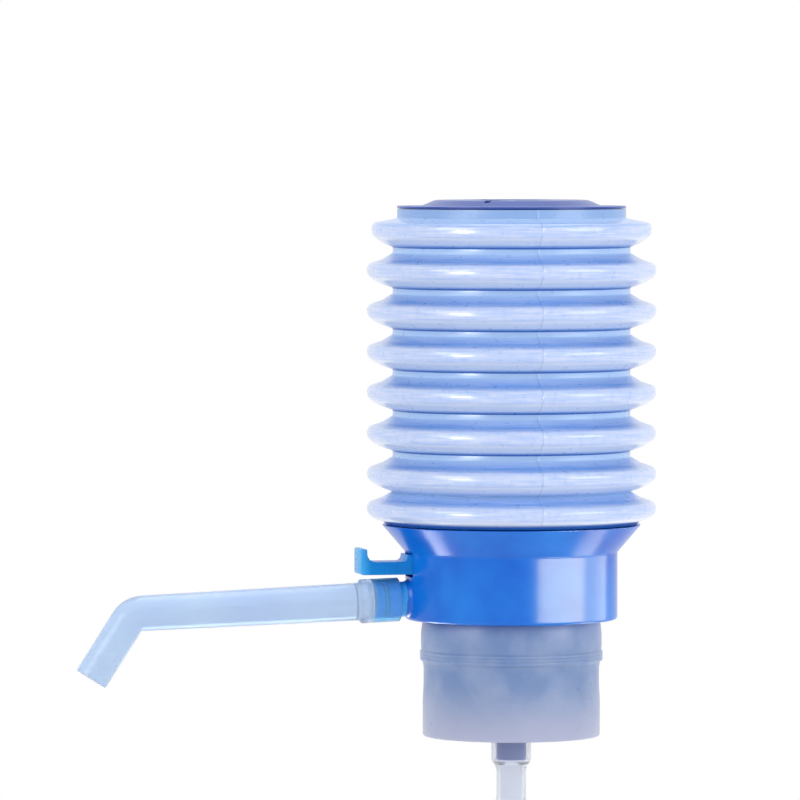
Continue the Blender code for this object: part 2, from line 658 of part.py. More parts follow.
def make_valve_plate(blue, rubber):
    seal_bottom = LEDGE_HEIGHT + FIT_GAP
    turned("valve_plate_seal", (
        (HOUSING_BORE + FIT_GAP, seal_bottom),
        (PLATE_RADIUS, seal_bottom),
        (PLATE_RADIUS, seal_bottom + PLATE_SEAL_THICKNESS),
        (HOUSING_BORE + FIT_GAP, seal_bottom + PLATE_SEAL_THICKNESS),
    ), rubber)
    plate = turned("valve_plate", (
        (0, PLATE_BOTTOM),
        (PLATE_RADIUS, PLATE_BOTTOM),
        (PLATE_RADIUS, PLATE_TOP),
        (PLATE_RIB_RADIUS + PLATE_RIB_WIDTH, PLATE_TOP),
        (PLATE_RIB_RADIUS + PLATE_RIB_WIDTH, PLATE_TOP + PLATE_RIB_HEIGHT),
        (PLATE_RIB_RADIUS, PLATE_TOP + PLATE_RIB_HEIGHT),
        (PLATE_RIB_RADIUS, PLATE_TOP),
        (0, PLATE_TOP),
    ), blue)
    valve_holes(plate, "plate", PLATE_BOTTOM, PLATE_TOP)


def valve_holes(piece, label, bottom, top):
    """The stem hole of an umbrella valve and the ring of ports that it covers."""
    low = bottom - CUT_OVERRUN
    high = top + CUT_OVERRUN
    cut(piece, rod(
        f"{label}_stem_cut", (0, 0, low), (0, 0, high), STEM_HOLE_RADIUS, SMALL_STEPS
    ))
    cut(piece, hole_ring(
        f"{label}_port_cut", VALVE_HOLE_COUNT, VALVE_HOLE_CIRCLE, VALVE_HOLE_RADIUS,
        low, high,
    ))


def make_umbrella_valve(label, seat, top, rubber, clip_material):
    """A rubber disc under its seat, and the clip on its stem above the web."""
    rim_top = seat - FIT_GAP
    clip_bottom = top + FIT_GAP + VALVE_LIFT
    clip_top = clip_bottom + VALVE_CLIP_THICKNESS
    turned(f"{label}_valve", (
        (0, rim_top - VALVE_CROWN),
        (VALVE_CROWN_RADIUS, rim_top - VALVE_CROWN),
        (VALVE_RADIUS, rim_top - VALVE_RIM),
        (VALVE_RADIUS, rim_top),
        (VALVE_STEM_RADIUS, rim_top),
        (VALVE_STEM_RADIUS, clip_bottom - RUNNING_GAP),
        (VALVE_STEM_NECK, clip_bottom - RUNNING_GAP),
        (VALVE_STEM_NECK, clip_top + RUNNING_GAP),
        (VALVE_STEM_RADIUS, clip_top + RUNNING_GAP),
        (VALVE_STEM_NECK, clip_top + RUNNING_GAP + VALVE_HEAD_HEIGHT),
        (0, clip_top + RUNNING_GAP + VALVE_HEAD_HEIGHT),
    ), rubber, TUBE_STEPS)
    turned(f"{label}_valve_clip", (
        (VALVE_STEM_NECK + RUNNING_GAP, clip_bottom),
        (VALVE_CLIP_RADIUS, clip_bottom),
        (VALVE_CLIP_RADIUS, clip_top),
        (VALVE_STEM_NECK + RUNNING_GAP, clip_top),
    ), clip_material, TUBE_STEPS)


def make_clamp_ring(blue):
    """A conical ring over the valve plate that holds the bellows' lip in the flare."""
    inset = HOUSING_WALL + BELLOWS_WALL + 2 * FIT_GAP
    bottom = PLATE_TOP + FIT_GAP
    top = FLARE_TOP - FIT_GAP
    foot = flare_radius(bottom, inset)
    foot_top = bottom + CLAMP_FOOT_THICKNESS
    turned("bellows_clamp_ring", (
        (foot - CLAMP_FOOT_WIDTH, bottom),
        (foot, bottom),
        (flare_radius(top, inset), top),
        (flare_radius(top, inset + CLAMP_RING_WALL), top),
        (flare_radius(foot_top, inset + CLAMP_RING_WALL), foot_top),
        (foot - CLAMP_FOOT_WIDTH, foot_top),
    ), blue)


def fold_crests():
    """Height and radius of each fold's crest, from the top down."""
    heights = [BELLOWS_TOP_CREST_HEIGHT - index * BELLOWS_PITCH for index in range(BELLOWS_FOLDS - 1)]
    heights.append(BELLOWS_LAST_CREST_HEIGHT)
    radii = [BELLOWS_TOP_CREST] + [BELLOWS_CREST] * (BELLOWS_FOLDS - 1)
    return list(zip(heights, radii))


def fold_path(shares, height, crest):
    """A fold's outline from shares of the pitch and of its depth."""
    depth = crest - BELLOWS_VALLEY
    return [
        Vector((BELLOWS_VALLEY + depth * out, height + BELLOWS_PITCH * up))
        for up, out in shares
    ]


def make_bellows(pale):
    lip_inset = HOUSING_WALL + FIT_GAP
    lip_top = FLARE_TOP + FIT_GAP
    lip_bottom = PLATE_TOP + FIT_GAP
    start = [
        Vector((BELLOWS_NECK_RADIUS, BELLOWS_RIM)),
        Vector((BELLOWS_NECK_RADIUS, BELLOWS_NECK_FOOT)),
    ]
    end = [
        Vector((BELLOWS_SHOULDER_RADIUS, lip_top + BELLOWS_SHOULDER_RISE)),
        Vector((BELLOWS_SHOULDER_RADIUS - BELLOWS_SHOULDER_RISE, lip_top)),
        Vector((flare_radius(lip_top, lip_inset), lip_top)),
        Vector((flare_radius(lip_bottom, lip_inset), lip_bottom)),
    ]
    outer = list(start)
    guide = list(start)
    crests = fold_crests()
    for index, (height, crest) in enumerate(crests):
        first = TOP_FOLD_START if index == 0 else 0
        last = LAST_FOLD_END if index == len(crests) - 1 else len(FOLD_SHARES)
        shares = FOLD_SHARES[first:last]
        plain_last = len(PLAIN_FOLD_SHARES) - (index == len(crests) - 1)
        outer += fold_path(shares, height, crest)
        plain = shares if index == 0 else PLAIN_FOLD_SHARES[:plain_last]
        guide += fold_path(plain, height, crest)
    outer += end
    guide += [end[0], end[2], end[3]]
    inner = offset_path(guide, BELLOWS_WALL)
    turned("bellows", [*map(tuple, outer), *map(tuple, reversed(inner))], pale, BELLOWS_STEPS)


def make_cap(dark_blue, rubber):
    skirt_bore = CAP_SKIRT_RADIUS - CAP_SKIRT_WALL
    skirt_bottom = CAP_FLANGE_BOTTOM - CAP_SKIRT_LENGTH
    groove_middle = CAP_FLANGE_BOTTOM - CAP_GROOVE_DROP
    groove_half = CAP_SEAL_THICKNESS / 2 + FIT_GAP
    groove_floor = CAP_SKIRT_RADIUS - CAP_GROOVE_DEPTH
    well_bottom = CAP_WELL_TOP - CAP_WELL_FLOOR
    shell_bottom = CAP_TOP - CAP_WALL
    cap = turned("press_cap", (
        (0, CAP_WELL_TOP),
        (CAP_WELL_RADIUS, CAP_WELL_TOP),
        (CAP_WELL_RADIUS, CAP_TOP, EDGE_ROUND),
        (CAP_PAD_RADIUS, CAP_TOP, EDGE_ROUND * 2),
        (CAP_PAD_FOOT_RADIUS, CAP_FLANGE_TOP),
        (BELLOWS_NECK_RADIUS, CAP_FLANGE_TOP, EDGE_ROUND / 2),
        (BELLOWS_NECK_RADIUS, CAP_FLANGE_BOTTOM),
        (CAP_SKIRT_RADIUS, CAP_FLANGE_BOTTOM),
        (CAP_SKIRT_RADIUS, groove_middle + groove_half),
        (groove_floor, groove_middle + groove_half),
        (groove_floor, groove_middle - groove_half),
        (CAP_SKIRT_RADIUS, groove_middle - groove_half),
        (CAP_SKIRT_RADIUS, skirt_bottom),
        (skirt_bore, skirt_bottom),
        (skirt_bore, CAP_FLANGE_TOP - CAP_WALL),
        (CAP_PAD_FOOT_RADIUS - CAP_WALL, CAP_FLANGE_TOP - CAP_WALL),
        (CAP_PAD_RADIUS - CAP_WALL, shell_bottom),
        (CAP_WELL_RADIUS + CAP_WALL, shell_bottom),
        (CAP_WELL_RADIUS + CAP_WALL, well_bottom),
        (0, well_bottom),
    ), dark_blue)
    valve_holes(cap, "cap", well_bottom, CAP_WELL_TOP)
    half = CAP_AIR_GROOVE_WIDTH / 2
    for index in range(CAP_AIR_GROOVES):
        groove = block(
            f"air_groove_cut_{index + 1}",
            (CAP_WELL_RADIUS - CUT_OVERRUN, -half, CAP_TOP - CAP_AIR_GROOVE_DEPTH),
            (CAP_PAD_FOOT_RADIUS, half, CAP_TOP + CUT_OVERRUN),
        )
        groove.rotation_euler.z = 2 * pi * index / CAP_AIR_GROOVES
        cut(cap, groove)
    seal_ring(
        "cap_seal", groove_floor + FIT_GAP + CAP_SEAL_THICKNESS / 2, groove_middle,
        CAP_SEAL_THICKNESS, rubber, LARGE_STEPS,
    )


def lever_outline():
    """The lever's side view, as distances inwards and upwards from its pin."""
    corners = (
        (LEVER_REACH, LEVER_BAR_BOTTOM, LEVER_ROUND),
        (LEVER_REACH, LEVER_HEAD_TOP, EDGE_ROUND),
        (LEVER_REACH - LEVER_HEAD_THICKNESS, LEVER_HEAD_TOP, EDGE_ROUND),
        (LEVER_REACH - LEVER_HEAD_THICKNESS, LEVER_BAR_TOP, LEVER_ROUND),
        (LEVER_ROOT_REACH, LEVER_BAR_TOP, LEVER_ROOT_ROUND),
        (LEVER_ROOT_REACH, LEVER_ROOT_TOP, EDGE_ROUND),
        (LEVER_ROOT_END, LEVER_ROOT_TOP, LEVER_ROUND),
        (LEVER_ROOT_END, LEVER_ARM_TOP, LEVER_ROUND),
        (LEVER_ARM_END, LEVER_ARM_TOP, EDGE_ROUND),
        (LEVER_ARM_END, LEVER_ARM_BOTTOM),
        (LEVER_ROOT_END, LEVER_ARM_BOTTOM, EDGE_ROUND),
        (PIN_PLACE, LEVER_BAR_BOTTOM, LEVER_ROUND),
    )
    return rounded([
        (PIN_PLACE - reach, height - PIN_HEIGHT, *fillet)
        for reach, height, *fillet in corners
    ])


def make_lever(cyan):
    """The release lever, parented to an empty on its pin's axis."""
    pivot = bpy.data.objects.new("lever_pivot", None)
    pivot.location = (-PIN_PLACE, 0, PIN_HEIGHT)
    pivot.empty_display_size = PIN_RADIUS
    bpy.context.scene.collection.objects.link(pivot)
    shape = bmesh.new()
    half = LEVER_WIDTH / 2
    side = shape.faces.new([shape.verts.new((x, -half, z)) for x, z in lever_outline()])
    grown = bmesh.ops.extrude_face_region(shape, geom=[side])
    moved = [item for item in grown["geom"] if isinstance(item, bmesh.types.BMVert)]
    bmesh.ops.translate(shape, vec=(0, LEVER_WIDTH, 0), verts=moved)
    lever = add_object("release_lever", shape, cyan)
    lever.parent = pivot
    hole_end = half + CUT_OVERRUN
    cut(lever, rod(
        "lever_hole_cut", (-PIN_PLACE, -hole_end, PIN_HEIGHT),
        (-PIN_PLACE, hole_end, PIN_HEIGHT), PIN_RADIUS + RUNNING_GAP, SMALL_STEPS,
    ))


def make_lever_pin(steel):
    end = POCKET_HALF_WIDTH + PIN_HOLD
    pin = rod(
        "lever_pin", (-PIN_PLACE, -end, PIN_HEIGHT), (-PIN_PLACE, end, PIN_HEIGHT),
        PIN_RADIUS, SMALL_STEPS,
    )
    pin.data.materials.append(steel)


def make_vent_pad(rubber):
    """The pad under the lever's inner arm, over both vents."""
    half = LEVER_WIDTH / 2 - FIT_GAP
    block(
        "vent_pad",
        (-(VENT_PLACE + PAD_LENGTH / 2), -half, VENT_SEAT_TOP + FIT_GAP),
        (-(VENT_PLACE - PAD_LENGTH / 2), half, LEVER_ARM_BOTTOM - FIT_GAP),
        rubber,
    )


def make_lever_spring(steel):
    """A coil between the lever's inner arm and the pocket's ceiling."""
    low = LEVER_ARM_TOP + FIT_GAP + SPRING_WIRE
    high = POCKET_CEILING - FIT_GAP - SPRING_WIRE
    count = SPRING_TURNS * SPRING_POINTS_PER_TURN + 1
    points = []
    for index in range(count):
        angle = 2 * pi * index / SPRING_POINTS_PER_TURN
        points.append(Vector((
            SPRING_RADIUS * cos(angle) - SPRING_PLACE,
            SPRING_RADIUS * sin(angle),
            low + (high - low) * index / (count - 1),
        )))
    line = bpy.data.curves.new("lever_spring", "CURVE")
    line.dimensions = "3D"
    line.bevel_depth = SPRING_WIRE
    line.bevel_resolution = 1
    line.use_fill_caps = True
    spline = line.splines.new("POLY")
    spline.points.add(count - 1)
    for point, place in zip(spline.points, points):
        point.co = (*place, 1)
    line.materials.append(steel)
    spring = bpy.data.objects.new("lever_spring", line)
    bpy.context.scene.collection.objects.link(spring)
    print(f"lever spring: least gap to itself {self_gap(points) * 1000:.2f} mm")


def self_gap(points):
    """Least gap between the spring's turns, from points half a turn or more apart."""
    apart = SPRING_POINTS_PER_TURN // 2
    gaps = [
        (far - near).length
        for index, near in enumerate(points)
        for far in points[index + apart:]
    ]
    return min(gaps) - 2 * SPRING_WIRE


def spout_elbow():
    """Rings round the elbow's bend, as (centre, direction, outer radius)."""
    arm = SPOUT_ELBOW_RADIUS + ELBOW_INNER_ROUND
    pivot = Vector((-arm, 0, ELBOW_PLACE))
    rings = []
    for step in range(ELBOW_STEPS + 1):
        share = step / ELBOW_STEPS
        angle = ELBOW_BEND * share
        centre = pivot + arm * Vector((cos(angle), 0, sin(angle)))
        radius = SPOUT_ELBOW_RADIUS + (SPOUT_LEG_RADIUS - SPOUT_ELBOW_RADIUS) * share
        rings.append((centre, Vector((-sin(angle), 0, cos(angle))), radius))
    return rings


def swept(name, path, material):
    """A closed tube through rings that run out along it and back along its bore."""
    shape = bmesh.new()
    across = Vector((0, 1, 0))
    rings = []
    for centre, direction, radius in path:
        up = across.cross(direction)
        ring = []
        for index in range(TUBE_STEPS):
            angle = 2 * pi * index / TUBE_STEPS
            outward = cos(angle) * across + sin(angle) * up
            ring.append(shape.verts.new(centre + radius * outward))
        rings.append(ring)
    for near, far in zip(rings, rings[1:] + rings[:1]):
        for index in range(TUBE_STEPS):
            shape.faces.new((near[index - 1], near[index], far[index], far[index - 1]))
    return add_object(name, shape, material)


def make_spout(clear):
    """The cuff, the long tube, its elbow and its leg, parented to an empty on its axis."""
    axis = bpy.data.objects.new("spout_axis", None)
    axis.matrix_world = spout_frame()
    axis.empty_display_size = NIPPLE_RADIUS
    bpy.context.scene.collection.objects.link(axis)
    out = Vector((0, 0, 1))
    socket = NIPPLE_RADIUS + FIT_GAP
    stop = NIPPLE_REACH + SPOUT_STOP_GAP
    elbow = spout_elbow()
    last_centre, last_direction, last_radius = elbow[-1]
    leg_end = last_centre + last_direction * LEG_LENGTH
    outer = [
        (out * CUFF_START, out, CUFF_RADIUS),
        (out * (CUFF_END - CUFF_SHOULDER), out, CUFF_RADIUS),
        (out * CUFF_END, out, SPOUT_RADIUS),
        *elbow,
        (leg_end, last_direction, last_radius),
    ]
    bore = [
        (out * CUFF_START, out, socket),
        (out * stop, out, socket),
        (out * stop, out, SPOUT_RADIUS - SPOUT_WALL),
        *[(centre, direction, radius - SPOUT_WALL) for centre, direction, radius in elbow],
        (leg_end, last_direction, last_radius - SPOUT_WALL),
    ]
    spout = swept("spout", [*outer, *reversed(bore)], clear)
    spout.parent = axis


def make_spout_seal(rubber):
    centre = NIPPLE_GROOVE_FLOOR + FIT_GAP + SPOUT_SEAL_THICKNESS / 2
    seal = seal_ring(
        "spout_seal", centre, NIPPLE_GROOVE_PLACE, SPOUT_SEAL_THICKNESS, rubber
    )
    seal.matrix_world = spout_frame()


def build():
    clear_scene()
    blue = make_material("saturated_blue", (0.03, 0.12, 0.62), 0.25)
    dark_blue = make_material("dark_blue", (0.01, 0.03, 0.30), 0.30)
    pale = make_material("pale_blue", (0.42, 0.55, 0.86), 0.32)
    milky = make_material("milky_grey", (0.55, 0.60, 0.68), 0.45)
    clear = make_material("clear_blue", (0.66, 0.74, 0.90), 0.15)
    cyan = make_material("cyan_blue", (0.10, 0.42, 0.80), 0.30)
    rubber = make_material("grey_rubber", (0.30, 0.32, 0.35), 0.80)
    steel = make_material("steel", (0.62, 0.63, 0.65), 0.30, 1.0)
    make_housing(blue)
    make_collar(milky)
    make_gasket(rubber)
    make_riser(blue, rubber)
    make_dip_tubes(clear)
    make_valve_plate(blue, rubber)
    make_umbrella_valve("outlet", PLATE_BOTTOM, PLATE_TOP, rubber, blue)
    make_clamp_ring(blue)
    make_bellows(pale)
    make_cap(dark_blue, rubber)
    cap_well_bottom = CAP_WELL_TOP - CAP_WELL_FLOOR
    make_umbrella_valve("inlet", cap_well_bottom, CAP_WELL_TOP, rubber, dark_blue)
    make_lever(cyan)
    make_lever_pin(steel)
    make_vent_pad(rubber)
    make_lever_spring(steel)
    make_spout(clear)
    make_spout_seal(rubber)


build()
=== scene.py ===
from math import cos, pi, radians, sin

import bmesh
import bpy
from mathutils import Matrix, Vector


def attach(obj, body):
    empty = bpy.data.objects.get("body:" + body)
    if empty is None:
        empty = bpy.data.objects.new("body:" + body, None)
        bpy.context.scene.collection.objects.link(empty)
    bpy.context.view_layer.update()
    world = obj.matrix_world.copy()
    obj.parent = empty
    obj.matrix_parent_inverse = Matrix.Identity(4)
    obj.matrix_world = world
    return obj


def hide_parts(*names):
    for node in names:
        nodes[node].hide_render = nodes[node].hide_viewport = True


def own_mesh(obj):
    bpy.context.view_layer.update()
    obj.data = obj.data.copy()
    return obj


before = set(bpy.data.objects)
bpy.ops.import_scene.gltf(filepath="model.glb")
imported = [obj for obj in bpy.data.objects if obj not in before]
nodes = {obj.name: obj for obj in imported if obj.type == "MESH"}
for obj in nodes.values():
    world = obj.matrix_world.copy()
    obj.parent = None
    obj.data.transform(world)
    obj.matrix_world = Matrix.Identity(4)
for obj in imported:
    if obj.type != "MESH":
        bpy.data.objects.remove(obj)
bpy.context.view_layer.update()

mm = 0.001
mergeDistance = 0.001 * mm
creaseAngle = radians(32)
arcSegments = 4
# How far a cutter passes the face that it cuts, in mm
overrun = 1.0

print("frame loaded:", len(nodes), "nodes")


# Node tree helpers

def addNode(tree, kind, inputs=None, **settings):
    node = tree.nodes.new(kind)
    for name, value in settings.items():
        setattr(node, name, value)
    for name, value in (inputs or {}).items():
        if isinstance(value, bpy.types.NodeSocket):
            tree.links.new(value, node.inputs[name])
        else:
            node.inputs[name].default_value = value
    return node


def mathNode(tree, operation, first, second=0.0, third=0.0):
    return addNode(tree, "ShaderNodeMath", {0: first, 1: second, 2: third}, operation=operation).outputs[0]


def mixColour(tree, factor, first, second):
    return addNode(tree, "ShaderNodeMix", {0: factor, 6: first, 7: second}, data_type="RGBA").outputs[2]


def noiseNode(tree, place, scale, detail, **inputs):
    inputs = {"Vector": place, "Scale": scale, "Detail": detail, **inputs}
    return addNode(tree, "ShaderNodeTexNoise", inputs).outputs[0]


def rangeNode(tree, value, low, high, **settings):
    # 0 at low and 1 at high
    inputs = {"Value": value, "From Min": low, "From Max": high}
    return addNode(tree, "ShaderNodeMapRange", inputs, **settings).outputs[0]


def attributeNode(tree, name):
    return addNode(tree, "ShaderNodeAttribute", attribute_name=name, attribute_type="GEOMETRY").outputs["Fac"]


def objectPlace(tree):
    return addNode(tree, "ShaderNodeTexCoord").outputs["Object"]


def newGroup(name, inputs, outputs):
    group = bpy.data.node_groups.new(name, "ShaderNodeTree")
    for socketName, kind, value in inputs:
        socket = group.interface.new_socket(name=socketName, in_out="INPUT", socket_type=kind)
        socket.default_value = value
    for socketName, kind in outputs:
        group.interface.new_socket(name=socketName, in_out="OUTPUT", socket_type=kind)
    return group, group.nodes.new("NodeGroupInput"), group.nodes.new("NodeGroupOutput")


# Shared effects

moulded = {"fineScale": 900.0, "waveScale": 140.0, "cloudRange": (0.35, 0.68), "fineHeight": 0.15}


def buildMouldedGroup():
    # Faint clouding of the colour, uneven gloss and the shallow waviness of moulded plastic
    group, given, result = newGroup(
        "mouldedSurface",
        (
            ("Colour", "NodeSocketColor", (0.5, 0.5, 0.5, 1.0)),
            ("Cloud Colour", "NodeSocketColor", (0.6, 0.6, 0.6, 1.0)),
            ("Cloud Amount", "NodeSocketFloat", 0.3),
            ("Cloud Size", "NodeSocketFloat", 60.0),
            ("Roughness", "NodeSocketFloat", 0.25),
            ("Roughness Spread", "NodeSocketFloat", 0.08),
        ),
        (("Colour", "NodeSocketColor"), ("Roughness", "NodeSocketFloat"), ("Height", "NodeSocketFloat")),
    )
    place = objectPlace(group)
    clouds = noiseNode(group, place, given.outputs["Cloud Size"], 3.0)
    fine = noiseNode(group, place, moulded["fineScale"], 2.0)
    waves = noiseNode(group, place, moulded["waveScale"], 1.0)
    spread = rangeNode(group, clouds, *moulded["cloudRange"])
    amount = mathNode(group, "MULTIPLY", spread, given.outputs["Cloud Amount"])
    colour = mixColour(group, amount, given.outputs["Colour"], given.outputs["Cloud Colour"])
    centred = mathNode(group, "SUBTRACT", fine, 0.5)
    roughness = mathNode(
        group, "MULTIPLY_ADD", centred, given.outputs["Roughness Spread"], given.outputs["Roughness"],
    )
    height = mathNode(group, "MULTIPLY_ADD", fine, moulded["fineHeight"], waves)
    for name, value in (("Colour", colour), ("Roughness", roughness), ("Height", height)):
        group.links.new(value, result.inputs[name])
    return group


def buildRingLinesGroup():
    # Fine lines round a turned piece, from the attribute "along", which follows its outline in mm
    group, given, result = newGroup(
        "ringLines",
        (("Fineness", "NodeSocketFloat", 2.0), ("Drift", "NodeSocketFloat", 40.0)),
        (("Lines", "NodeSocketFloat"),),
    )
    parts = addNode(group, "ShaderNodeSeparateXYZ", {"Vector": objectPlace(group)})
    slowX = mathNode(group, "MULTIPLY", parts.outputs["X"], given.outputs["Drift"])
    slowY = mathNode(group, "MULTIPLY", parts.outputs["Y"], given.outputs["Drift"])
    quickZ = mathNode(group, "MULTIPLY", attributeNode(group, "along"), given.outputs["Fineness"])
    stretched = addNode(group, "ShaderNodeCombineXYZ", {"X": slowX, "Y": slowY, "Z": quickZ}).outputs[0]
    group.links.new(noiseNode(group, stretched, 1.0, 2.0, Roughness=0.6), result.inputs["Lines"])
    return group


mouldedGroup = buildMouldedGroup()
ringLinesGroup = buildRingLinesGroup()


def startMaterial(name):
    material = bpy.data.materials.new(name)
    material.use_nodes = True
    tree = material.node_tree
    return material, tree, tree.nodes["Principled BSDF"]


def placeGroup(tree, group, **inputs):
    node = tree.nodes.new("ShaderNodeGroup")
    node.node_tree = group
    for name, value in inputs.items():
        node.inputs[name.replace("_", " ")].default_value = value
    return node


def addBump(tree, shader, height, strength, distance):
    inputs = {"Height": height, "Strength": strength, "Distance": distance * mm}
    tree.links.new(addNode(tree, "ShaderNodeBump", inputs).outputs[0], shader.inputs["Normal"])


def fadeColour(tree, colour, fade):
    # A second colour towards one end of the piece: painted light on the housing's nipple and the lever's
    # head, the lit nipple painted onto the spout's cuff where it shows through, and a collar that is paler
    # towards its bottom
    if "attribute" in fade:
        share = attributeNode(tree, fade["attribute"])
    else:
        parts = addNode(tree, "ShaderNodeSeparateXYZ", {"Vector": objectPlace(tree)})
        share = rangeNode(
            tree, parts.outputs[fade["axis"]], fade["start"] * mm, fade["end"] * mm,
            interpolation_type="SMOOTHSTEP",
        )
    return mixColour(tree, share, colour, (*fade["colour"], 1.0))


def buildPlastic(look):
    material, tree, shader = startMaterial(look["name"])
    surface = placeGroup(
        tree, mouldedGroup, Colour=(*look["colour"], 1.0), Cloud_Colour=(*look["cloudColour"], 1.0),
        Cloud_Amount=look["cloudAmount"], Cloud_Size=look["cloudSize"], Roughness=look["roughness"],
        Roughness_Spread=look["roughnessSpread"],
    )
    colour = surface.outputs["Colour"]
    if "fade" in look:
        colour = fadeColour(tree, colour, look["fade"])
    tree.links.new(colour, shader.inputs["Base Color"])
    tree.links.new(surface.outputs["Roughness"], shader.inputs["Roughness"])
    addBump(tree, shader, surface.outputs["Height"], look["bump"], look["bumpDistance"])
    for socketName, value in look.get("shader", {}).items():
        shader.inputs[socketName].default_value = value
    return material


# Materials

housingPlastic = buildPlastic({
    "name": "blueHousingPlastic", "colour": (0.000, 0.118, 0.620), "cloudColour": (0.010, 0.240, 0.830),
    "cloudAmount": 0.8, "cloudSize": 34.0, "roughness": 0.21, "roughnessSpread": 0.06,
    "bump": 0.08, "bumpDistance": 0.05,
    # The nipple is painted lighter: painted light, standing in for the light that the clear spout keeps off
    # it
    "fade": {"attribute": "nipple", "colour": (0.060, 0.480, 1.000)},
    "shader": {
        "IOR": 1.38,
        "Subsurface Weight": 0.10, "Subsurface Radius": (0.2, 0.5, 1.0), "Subsurface Scale": 0.004,
    },
})
capPlastic = buildPlastic({
    "name": "darkBlueCapPlastic", "colour": (0.010, 0.060, 0.360), "cloudColour": (0.018, 0.085, 0.430),
    "cloudAmount": 0.5, "cloudSize": 40.0, "roughness": 0.30, "roughnessSpread": 0.08,
    "bump": 0.12, "bumpDistance": 0.05,
    "shader": {"Coat Weight": 0.1, "Coat Roughness": 0.2},
})
innerPlastic = buildPlastic({
    "name": "blueInnerPlastic", "colour": (0.012, 0.100, 0.500), "cloudColour": (0.025, 0.140, 0.600),
    "cloudAmount": 0.4, "cloudSize": 50.0, "roughness": 0.30, "roughnessSpread": 0.08,
    "bump": 0.15, "bumpDistance": 0.05,
})
leverPlastic = buildPlastic({
    "name": "cyanLeverPlastic", "colour": (0.001, 0.230, 0.660), "cloudColour": (0.010, 0.300, 0.740),
    "cloudAmount": 0.6, "cloudSize": 90.0, "roughness": 0.28, "roughnessSpread": 0.08,
    "bump": 0.12, "bumpDistance": 0.04,
    # The head is painted lighter towards its end: painted light where its end face catches the light
    "fade": {"axis": "X", "start": -49.0, "end": -53.5, "colour": (0.060, 0.420, 0.860)},
    "shader": {
        "IOR": 1.33, "Specular IOR Level": 0.3,
        "Subsurface Weight": 0.2, "Subsurface Radius": (0.3, 0.7, 1.0), "Subsurface Scale": 0.003,
    },
})
collarPlastic = buildPlastic({
    "name": "milkyCollarPlastic", "colour": (0.175, 0.275, 0.500), "cloudColour": (0.290, 0.370, 0.570),
    "cloudAmount": 1.0, "cloudSize": 70.0, "roughness": 0.30, "roughnessSpread": 0.14,
    "bump": 0.25, "bumpDistance": 0.08,
    "fade": {"axis": "Z", "start": -3.0, "end": -32.0, "colour": (0.470, 0.490, 0.640)},
    "shader": {
        "IOR": 1.40,
        "Subsurface Weight": 0.4, "Subsurface Radius": (0.7, 0.8, 1.0), "Subsurface Scale": 0.003,
    },
})
greyRubber = buildPlastic({
    "name": "greyRubber", "colour": (0.200, 0.215, 0.240), "cloudColour": (0.260, 0.275, 0.300),
    "cloudAmount": 0.5, "cloudSize": 120.0, "roughness": 0.68, "roughnessSpread": 0.20,
    "bump": 0.40, "bumpDistance": 0.05,
    "shader": {"Sheen Weight": 0.15, "Sheen Roughness": 0.5},
})
milkySilicone = buildPlastic({
    "name": "milkySilicone", "colour": (0.560, 0.600, 0.680), "cloudColour": (0.640, 0.680, 0.740),
    "cloudAmount": 0.5, "cloudSize": 120.0, "roughness": 0.45, "roughnessSpread": 0.15,
    "bump": 0.20, "bumpDistance": 0.04,
    "shader": {"Subsurface Weight": 0.4, "Subsurface Scale": 0.003},
})
spoutPlastic = buildPlastic({
    "name": "clearBlueSpoutPlastic", "colour": (0.740, 0.860, 1.000), "cloudColour": (0.650, 0.770, 0.990),
    "cloudAmount": 0.5, "cloudSize": 30.0, "roughness": 0.12, "roughnessSpread": 0.06,
    "bump": 0.04, "bumpDistance": 0.04,
    # Painted blue where the nipple lies inside the clear cuff: the lit nipple seen through it, painted in as
    # painted light
    "fade": {"axis": "X", "start": -49.5, "end": -47.0, "colour": (0.240, 0.660, 1.000)},
    "shader": {"Transmission Weight": 0.74, "IOR": 1.32},
})
tubePlastic = buildPlastic({
    "name": "clearDipTubePlastic", "colour": (0.840, 0.870, 0.940), "cloudColour": (0.790, 0.830, 0.920),
    "cloudAmount": 0.5, "cloudSize": 30.0, "roughness": 0.10, "roughnessSpread": 0.06,
    "bump": 0.03, "bumpDistance": 0.03,
    "shader": {"Transmission Weight": 0.85, "IOR": 1.40},
})


